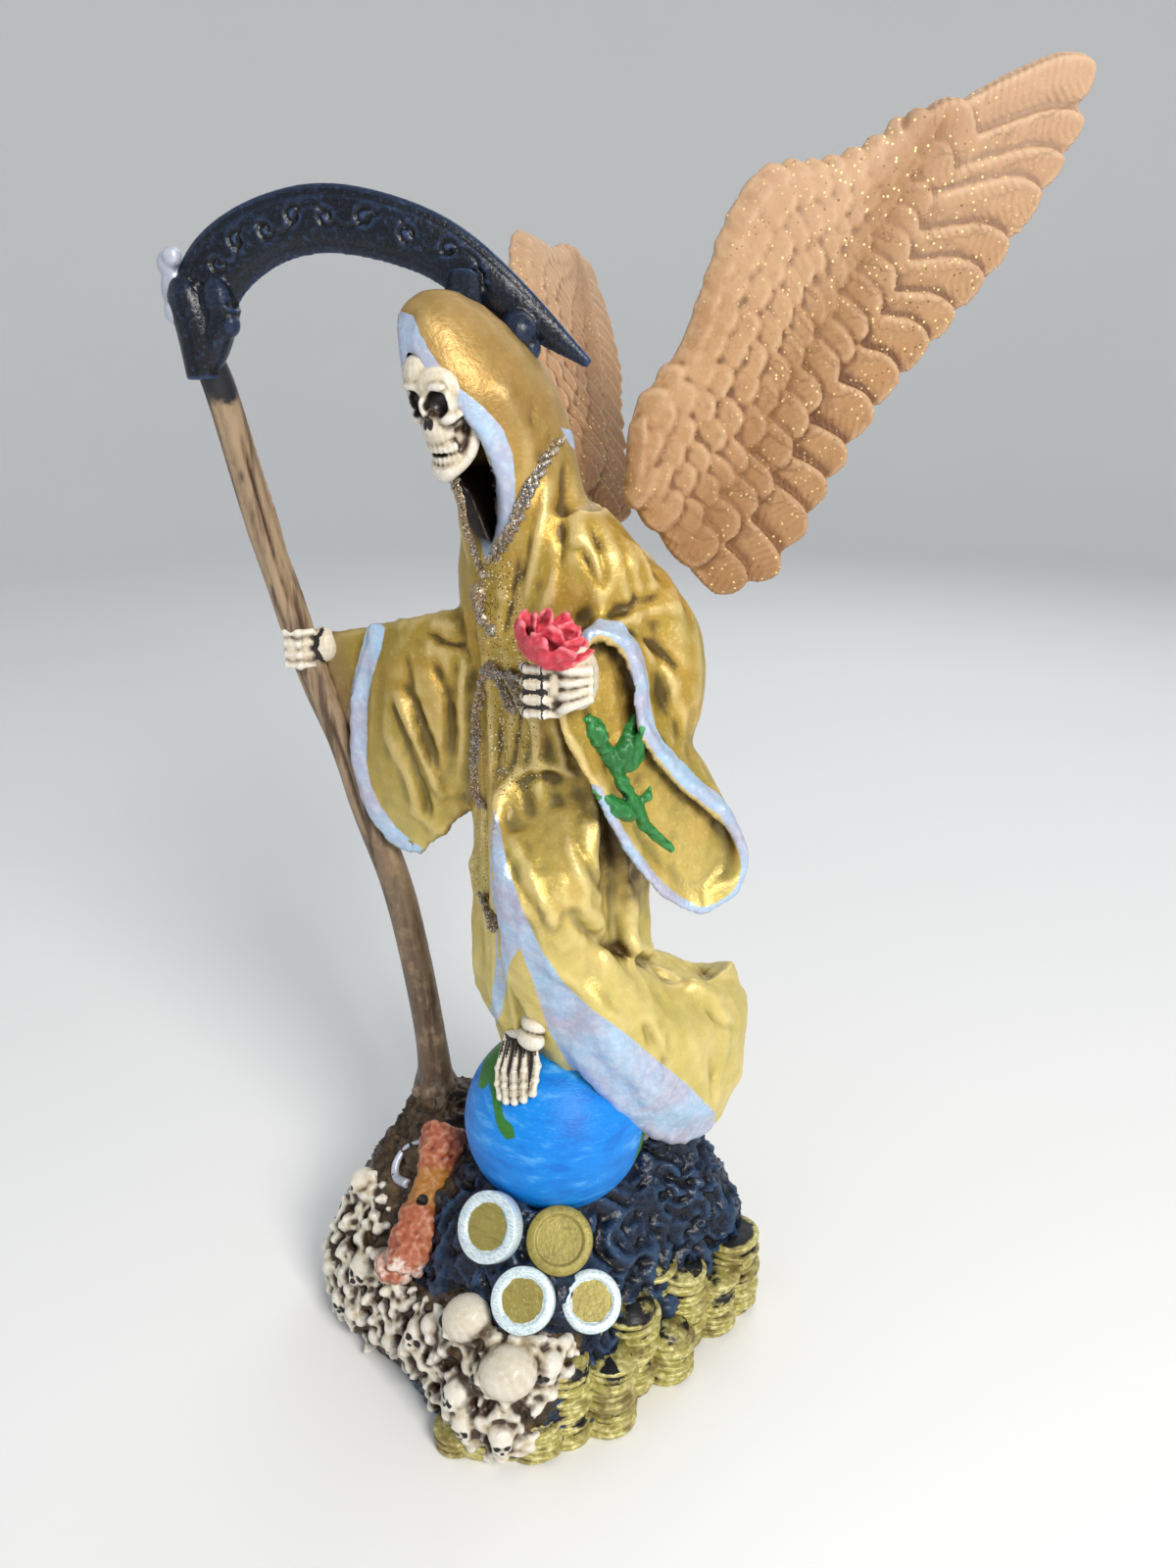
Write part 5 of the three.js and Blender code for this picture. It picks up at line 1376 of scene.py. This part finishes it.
beads = [
    (339, 1292, 11), (352, 1300, 8), (361, 1337, 10), (350, 1325, 7), (386, 1360, 11), (402, 1352, 10),
    (442, 1351, 13), (416, 1377, 11), (432, 1390, 7), (447, 1390, 7), (495, 1450, 10), (486, 1466, 10),
    (527, 1468, 9), (513, 1462, 10), (465, 1462, 9), (457, 1430, 8), (440, 1420, 7), (442, 1433, 7),
    (566, 1385, 10), (575, 1370, 8), (557, 1400, 10), (560, 1420, 8), (500, 1480, 9), (345, 1235, 7),
    (356, 1248, 9), (368, 1262, 7), (384, 1240, 7), (360, 1215, 7), (395, 1330, 8), (372, 1345, 8)]
for x, y, size in beads:
    for spot in picked(heap_seen, [(x, y)]):
        radius = size / 3.6
        bone_shapes.append(blob(
            spot + toward * 0.6, (radius, radius, radius * bead_draw.uniform(0.9, 1.4)),
            (bead_draw.uniform(-1, 1), bead_draw.uniform(-1, 1), 0), 12))
for k in range(1100):
    x, y = bead_draw.uniform(330, 592), bead_draw.uniform(1190, 1494)
    if inside_of(pile_outline, np.array([[x, y]]))[0] < 0:
        continue
    for spot in picked(heap_seen, [(x, y)]):
        radius = bead_draw.uniform(0.9, 2.2)
        bone_shapes.append(blob(
            spot + toward * bead_draw.uniform(-0.4, 1.4),
            (radius, radius, radius * bead_draw.uniform(0.9, 2.2)),
            (bead_draw.uniform(-1.4, 1.4), bead_draw.uniform(-1.4, 1.4), 0), 10))
for k in range(150):
    turn = math.pi * bead_draw.uniform(-1.08, -0.62)
    reach = 0.98 * float(plan_reach(np.array([turn]))[0])
    radius = bead_draw.uniform(1.2, 2.8)
    bone_shapes.append(blob(
        (math.cos(turn) * reach, math.sin(turn) * reach, bead_draw.uniform(8, 21)),
        (radius, radius, radius * bead_draw.uniform(0.9, 1.9)),
        (bead_draw.uniform(-1.4, 1.4), bead_draw.uniform(-1.4, 1.4), 0), 10))
bones = cast("skulls_and_bones", bone_shapes, grain_size=0.62, rounding=0, cutters=[joined(bone_cutters)])
spots = spots_of(bones) / mm
spots[:, 2] = np.maximum(spots[:, 2], 0.1)
shifted(bones, spots)
marked(bones, "gloom", np.min([gloom(spots_of(bones) / mm) for gloom in glooms], axis=0))
marked_wash_and_shade(bones, reach=8, rays=12, rounds=6, scale=0.12)
bones.data.materials.append(bone)
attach(bones, "root")
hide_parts("figure")

# Hourglass
# A small hourglass leans on the heap by the globe, with red ends and an orange waist, and a thin
# pale blue crescent lies beside it. Both are cast with the heap and painted by hand.
glass_low, glass_high = np.array((1.1, -45.6, 42)), np.array((-9.4, -22.8, 66))
glass_radii = [5.2, 6.2, 6.4, 6.2, 5, 4.4, 5, 6.2, 6.8, 6]
glass_path = [glass_low + (glass_high - glass_low) * share
              for share in np.linspace(-0.12, 1.1, len(glass_radii))]
dimple = (glass_low + glass_high) / 2 + (3, -3.4, 2.2)
hourglass = cast("hourglass", [
    rod(glass_path, glass_radii, 28, 60),
    blob(glass_low + (-3, -3, -4), (6.4, 4.6, 4.6), (0.5, 0.2, 0.3))],
    grain_size=0.5, rounding=1, cutters=[blob(dimple, 1.5)])
spots, normals = spots_of(hourglass) / mm, spots_of(hourglass, "normal")
lumps = np.array([noise.noise(Vector(s) * 0.22) + 0.5 * noise.noise(Vector(s) * 0.6) for s in spots])
shifted(hourglass, spots + normals * (1.3 * lumps)[:, None])
run = glass_high - glass_low
marked(hourglass, "up", (spots - glass_low) @ run / np.sum(run ** 2))
marked(hourglass, "gloom", np.linalg.norm(spots - dimple, axis=1) / 2)
marked_wash_and_shade(hourglass, reach=5, rays=10, rounds=6, scale=0.2)
brick, tree, spots, tone, bump, gloss = painted(
    "hourglass_paint", plain=(0.34, 0.07, 0.03, 1), other=(0.42, 0.12, 0.05, 1), deep=(0.04, 0.018, 0.01, 1),
    rubbed_and_sheen=(0.62, 0.32, 0.2, 1), rough=0.45)
wavy = summed(tree, mark(tree, "up"), ranged(tree, mottle(tree, spots, 150), 0, 1, -0.12, 0.12))
waist = summed(tree, ranged(tree, wavy, 0.38, 0.46), ranged(tree, wavy, 0.78, 0.7), "MULTIPLY")
orange = layer(tree, (0.3, 0.11, 0.015, 1), (0.44, 0.2, 0.04, 1), mottle(tree, spots, 300))
tone = layer(tree, tone, orange, waist)
white_wash = summed(tree, ranged(tree, wavy, 0.02, -0.06), ranged(
    tree, mottle(tree, spots, 240), 0.45, 0.6), "MULTIPLY")
tone = layer(tree, tone, (0.8, 0.68, 0.6, 1), white_wash)
tone = layer(tree, tone, (0.01, 0.005, 0.004, 1), ranged(tree, mark(tree, "gloom"), 1.0, 0.85))
shown(tree, node(tree, "BsdfPrincipled", {"Base Color": tone, "Roughness": gloss, "Normal": bump}))
hourglass.data.materials.append(brick)
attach(hourglass, "root")
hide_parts("figure")
crescent_path = picked(heap_seen, [(431, 1164), (414, 1172), (404, 1188), (405, 1202), (416, 1208)])
crescent = cast("crescent", [
    rod(crescent_path, np.linspace(0.9, 1.5, len(crescent_path)), 10, 30)],
    grain_size=0.4, rounding=1)
marked_wash_and_shade(crescent, reach=3, rays=6, rounds=4, scale=0.3)
crescent.data.materials.append(silver_coat)
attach(crescent, "root")
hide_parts("figure")

# Wings
# Each wing is a casting of its own in bare tan resin, feathered on both sides and sprinkled
# with gold glitter. It is glued to the back of a shoulder.
wing_length = 149
lead_plan = [(-5, 10), (-4, 21), (3, 30.5), (7, 40.5), (10.5, 50.5), (15.5, 57), (23, 58), (30, 59),
             (38, 63), (46, 67.5)]
covert_plan = [(6, -4), (12.7, 4.8), (17.6, 10), (22, 19), (26.5, 26), (29.7, 32), (32.5, 38.5),
               (35.5, 46), (39.5, 54), (47.5, 67)]
tip_plan = [(11, -9), (21, -7), (28, 4), (34, 14), (41, 25), (49, 34), (56, 43), (63, 54), (68, 64),
            (69, 76.5)]
# count, reach from and to, width, root and tip lift, side tilt, barbs, first and last share
feather_rows = [
    (15, 0.84, 2.0, 1.0, -0.5, 1.2, 1.9, 1, 0.02, 0.985),
    (17, 0.62, 1.25, 1.15, -0.4, 2.4, 1.0, 0.7, 0.01, 0.97),
    (18, 0.44, 0.86, 1.2, -0.4, 2.2, 0.8, 0.3, 0.02, 0.96),
    (19, 0.29, 0.66, 1.25, -0.4, 2.1, 0.7, 0, 0.01, 0.95),
    (18, 0.17, 0.48, 1.3, -0.5, 1.9, 0.6, 0, 0.02, 0.94),
    (19, 0.08, 0.32, 1.3, -0.8, 1.6, 0.4, 0, 0.01, 0.94),
    (18, 0.04, 0.19, 1.2, -1.2, 0.9, 0.1, 0, 0.02, 0.9)]


def wing_plan(share, reach):
    """Spots of the plan: share from root to tip, reach 0 leading edge, 1 coverts' end, 2 tips"""
    lead, covert, tips = [smooth_path(plan, share) * wing_length / 100
                          for plan in (lead_plan, covert_plan, tip_plan)]
    reach = np.asarray(reach)[:, None]
    return np.where(reach < 1, lead + (covert - lead) * reach, covert + (tips - covert) * (reach - 1))


def wing_half(share, reach):
    """Half the thickness of the wing's plate"""
    edge = np.sqrt(np.clip(reach / 0.16, 0, 1))
    return edge * np.interp(reach, [0, 0.35, 1, 2], [3.2, 3.2, 2.2, 0.8]) * (1 - 0.4 * share)


def wing(name, root, out, up, bend):
    """A feathered wing on a plate, from its root outward and up"""
    root, out, up = np.array(root), np.array(out) / np.linalg.norm(out), np.array(up)
    normal = np.cross(out, up)

    def middle(spot, off):
        return (root + np.outer(spot[:, 0], out) + np.outer(spot[:, 1], up) + np.outer(
            off + bend * (spot[:, 0] / wing_length) ** 2 * wing_length, normal))

    def plate(angle, share):
        reach = 0.985 - np.cos(angle) * 0.95
        return middle(wing_plan(0.98 * share, reach), np.sin(angle) * wing_half(
            share, np.maximum(reach, 0.1)))

    def feather(share, row, face, end):
        """One feather's shape, and its quill's spots for the barbs"""
        count, start_at, _, wide, root_lift, tip_lift, tilt, barbs, first, last = row
        here, half = np.array([share]), 0.5 * (last - first) / count
        start = wing_plan(np.clip(here - 0.02, 0, 1), [start_at])[0]
        spread = (wing_plan(np.clip(here + half, 0, 1), [end])[0]
                  - wing_plan(np.clip(here - half, 0, 1), [end])[0])
        half_wide = max(1.9, 0.62 * np.linalg.norm(spread) * wide)
        run = wing_plan(here, [end])[0] - start
        length = np.linalg.norm(run)
        along = run / length
        side = np.array((-along[1], along[0]))

        def place(angle, s):
            s = 1 - (1 - s) ** 1.8
            across = np.cos(angle)
            tipped = np.sqrt(np.clip(1 - np.clip((s - 0.7) / 0.3, 0, 1) ** 2.4, 0.0004, 1))
            outline = (0.6 + 0.4 * np.sin(np.pi / 2 * np.minimum(1, s / 0.6))) * tipped
            spot = start + np.outer(s * length, along) + np.outer(across * half_wide * outline, side)
            lift = root_lift + (tip_lift - root_lift) * s ** 0.7
            quill = 0.3 * np.exp(-(across / 0.15) ** 2) * (1 - s)
            high = wing_half(np.full(len(s), share), start_at + (end - start_at) * s) + (
                1 - 0.3 * share) * (lift + tilt * across + 0.35 * (1 - across ** 2) + quill)
            return middle(spot, face * np.where(np.sin(angle) > 1e-6, high, -0.2))
        quills = []
        for s in np.linspace(0.1, 1, 9):
            high = wing_half(here, np.array([start_at + (end - start_at) * s])) + tip_lift * s
            quills.append((middle((start + s * run)[None], face * high)[0], side, along, barbs, start))
        return bent(place, 16, 22 if length > 22 else 12), quills

    shapes, quills = [bent(plate, 60, 90)], []
    jitter = random.Random(len(name))
    for face in (1, -1):
        for row in feather_rows:
            count, _, row_end, *_, first, last = row
            for k in range(count):
                share = first + (last - first) * (k + 0.5 + jitter.uniform(-0.1, 0.1)) / count
                end = row_end + jitter.uniform(-0.02, 0.02) * (row_end < 2)
                shape, spots = feather(share, row, face, end)
                shapes.append(shape)
                quills += spots
    thing = cast(name, shapes, grain_size=0.64, rounding=1)

    finder = kdtree.KDTree(len(quills))
    for i, quill in enumerate(quills):
        finder.insert(quill[0], i)
    finder.balance()
    barb, barbed = [], []
    for spot in spots_of(thing) / mm:
        _, side, along, barbs, start = quills[finder.find(spot)[1]]
        flat = np.array([np.dot(spot - root, out), np.dot(spot - root, up)]) - start
        barb.append(np.dot(flat, along) - 0.35 * abs(np.dot(flat, side)))
        barbed.append(barbs)
    marked(thing, "barb", barb)
    marked(thing, "barbed", barbed)
    shares = np.linspace(0.05, 0.95, 20)
    dips = [middle(wing_plan(shares, np.full(20, 0.9)), face * wing_half(shares, np.ones(20)))
            for face in (1, -1)]
    marked(thing, "covert_step_shade", band(thing, [(line, 9) for line in dips]))
    marked_wash_and_shade(thing, reach=5, rays=10, rounds=8, scale=0.12)
    return thing


def turned(vector, axis, angle):
    """A vector turned about an axis"""
    return np.array(Matrix.Rotation(angle, 3, Vector(axis)) @ Vector(vector))


right_sweep = np.array((-0.264, 0.965, 0)) / math.hypot(0.264, 0.965)
right_lean, right_droop = -0.545, -0.285
right_rise = turned((0, 0, 1), right_sweep, right_lean)
right_axis = np.cross(right_sweep, right_rise)
left_wing = wing(
    "left_wing_feathers", root=(33.5, 18.7, 245), out=(0.574, 0.819, 0), up=(0, 0, 1), bend=0.04)
right_wing = wing(
    "right_wing_feathers", root=(-2.9, 18.2, 260.8), out=turned(right_sweep, right_axis, right_droop),
    up=turned(right_rise, right_axis, right_droop), bend=-0.34)
# On bare resin, the dark in hollows and sheltered spots is painted shade, and the lighter edges are painted
# highlight
resin, tree, spots, tone, bump, gloss = painted(
    "wing_resin", plain=(0.4, 0.21, 0.088, 1), other=(0.46, 0.265, 0.125, 1), deep=(0.13, 0.05, 0.018, 1),
    rubbed_and_sheen=(0.6, 0.4, 0.24, 1), rough=0.62, wash_and_shade=0.9, closed=(0.02, 0.3))
height = node(tree, "SeparateXYZ", {0: spots}).outputs[2]
# Painted light and shade: the wings are lighter high up and darker low down
tone = layer(tree, tone, (0.6, 0.41, 0.28, 1), ranged(tree, height, 0.29, 0.35, 0, 0.55))
tone = layer(tree, tone, (0.3, 0.14, 0.045, 1), ranged(tree, height, 0.28, 0.235, 0, 0.5))
# Painted shade in a band along the step where the coverts end
covert_step_shade = summed(tree, mark(tree, "covert_step_shade"), ranged(tree, mottle(tree, spots, 110), 0, 1, -0.5, 0.5))
tone = layer(tree, tone, (0.26, 0.12, 0.035, 1), ranged(tree, covert_step_shade, 1.1, 0.2, 0, 0.6))
wave = summed(tree, summed(tree, mark(tree, "barb"), 3.3, "MULTIPLY"), 0, "SINE")
broken = summed(tree, mark(tree, "barbed"), ranged(tree, mottle(tree, spots, 120), 0.35, 0.6), "MULTIPLY")
ribs = summed(tree, wave, broken, "MULTIPLY")
# Painted shade in the grooves between the barbs
tone = layer(tree, tone, (0.34, 0.17, 0.08, 1), ranged(tree, ribs, 0, -1, 0, 0.3))
bump = node(tree, "Bump", {"Height": ribs, "Strength": 0.5, "Distance": 0.0003, "Normal": bump}).outputs[0]
# Gold glitter, its sparkle painted as bright and dark flakes
on, pick = flakes(tree, spots, 1150, 0.82)
sprinkle = ranged(tree, mottle(tree, spots, 22, 2), 0.42, 0.6, 0.1, 1)
glitter_glint_tone = layer(tree, (0.2, 0.1, 0.02, 1), (1, 0.8, 0.35, 1), ranged(tree, pick, 0.3, 0.4))
tone = layer(tree, tone, glitter_glint_tone, summed(tree, on, sprinkle, "MULTIPLY"))
shown(tree, node(tree, "BsdfPrincipled", {
    "Base Color": tone, "Roughness": gloss, "Normal": bump, "Subsurface Weight": 0.06,
    "Subsurface Scale": 0.003}))
for thing, solid in ((left_wing, "left_wing"), (right_wing, "right_wing")):
    thing.data.materials.append(resin)
    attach(thing, "root")
    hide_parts(solid)
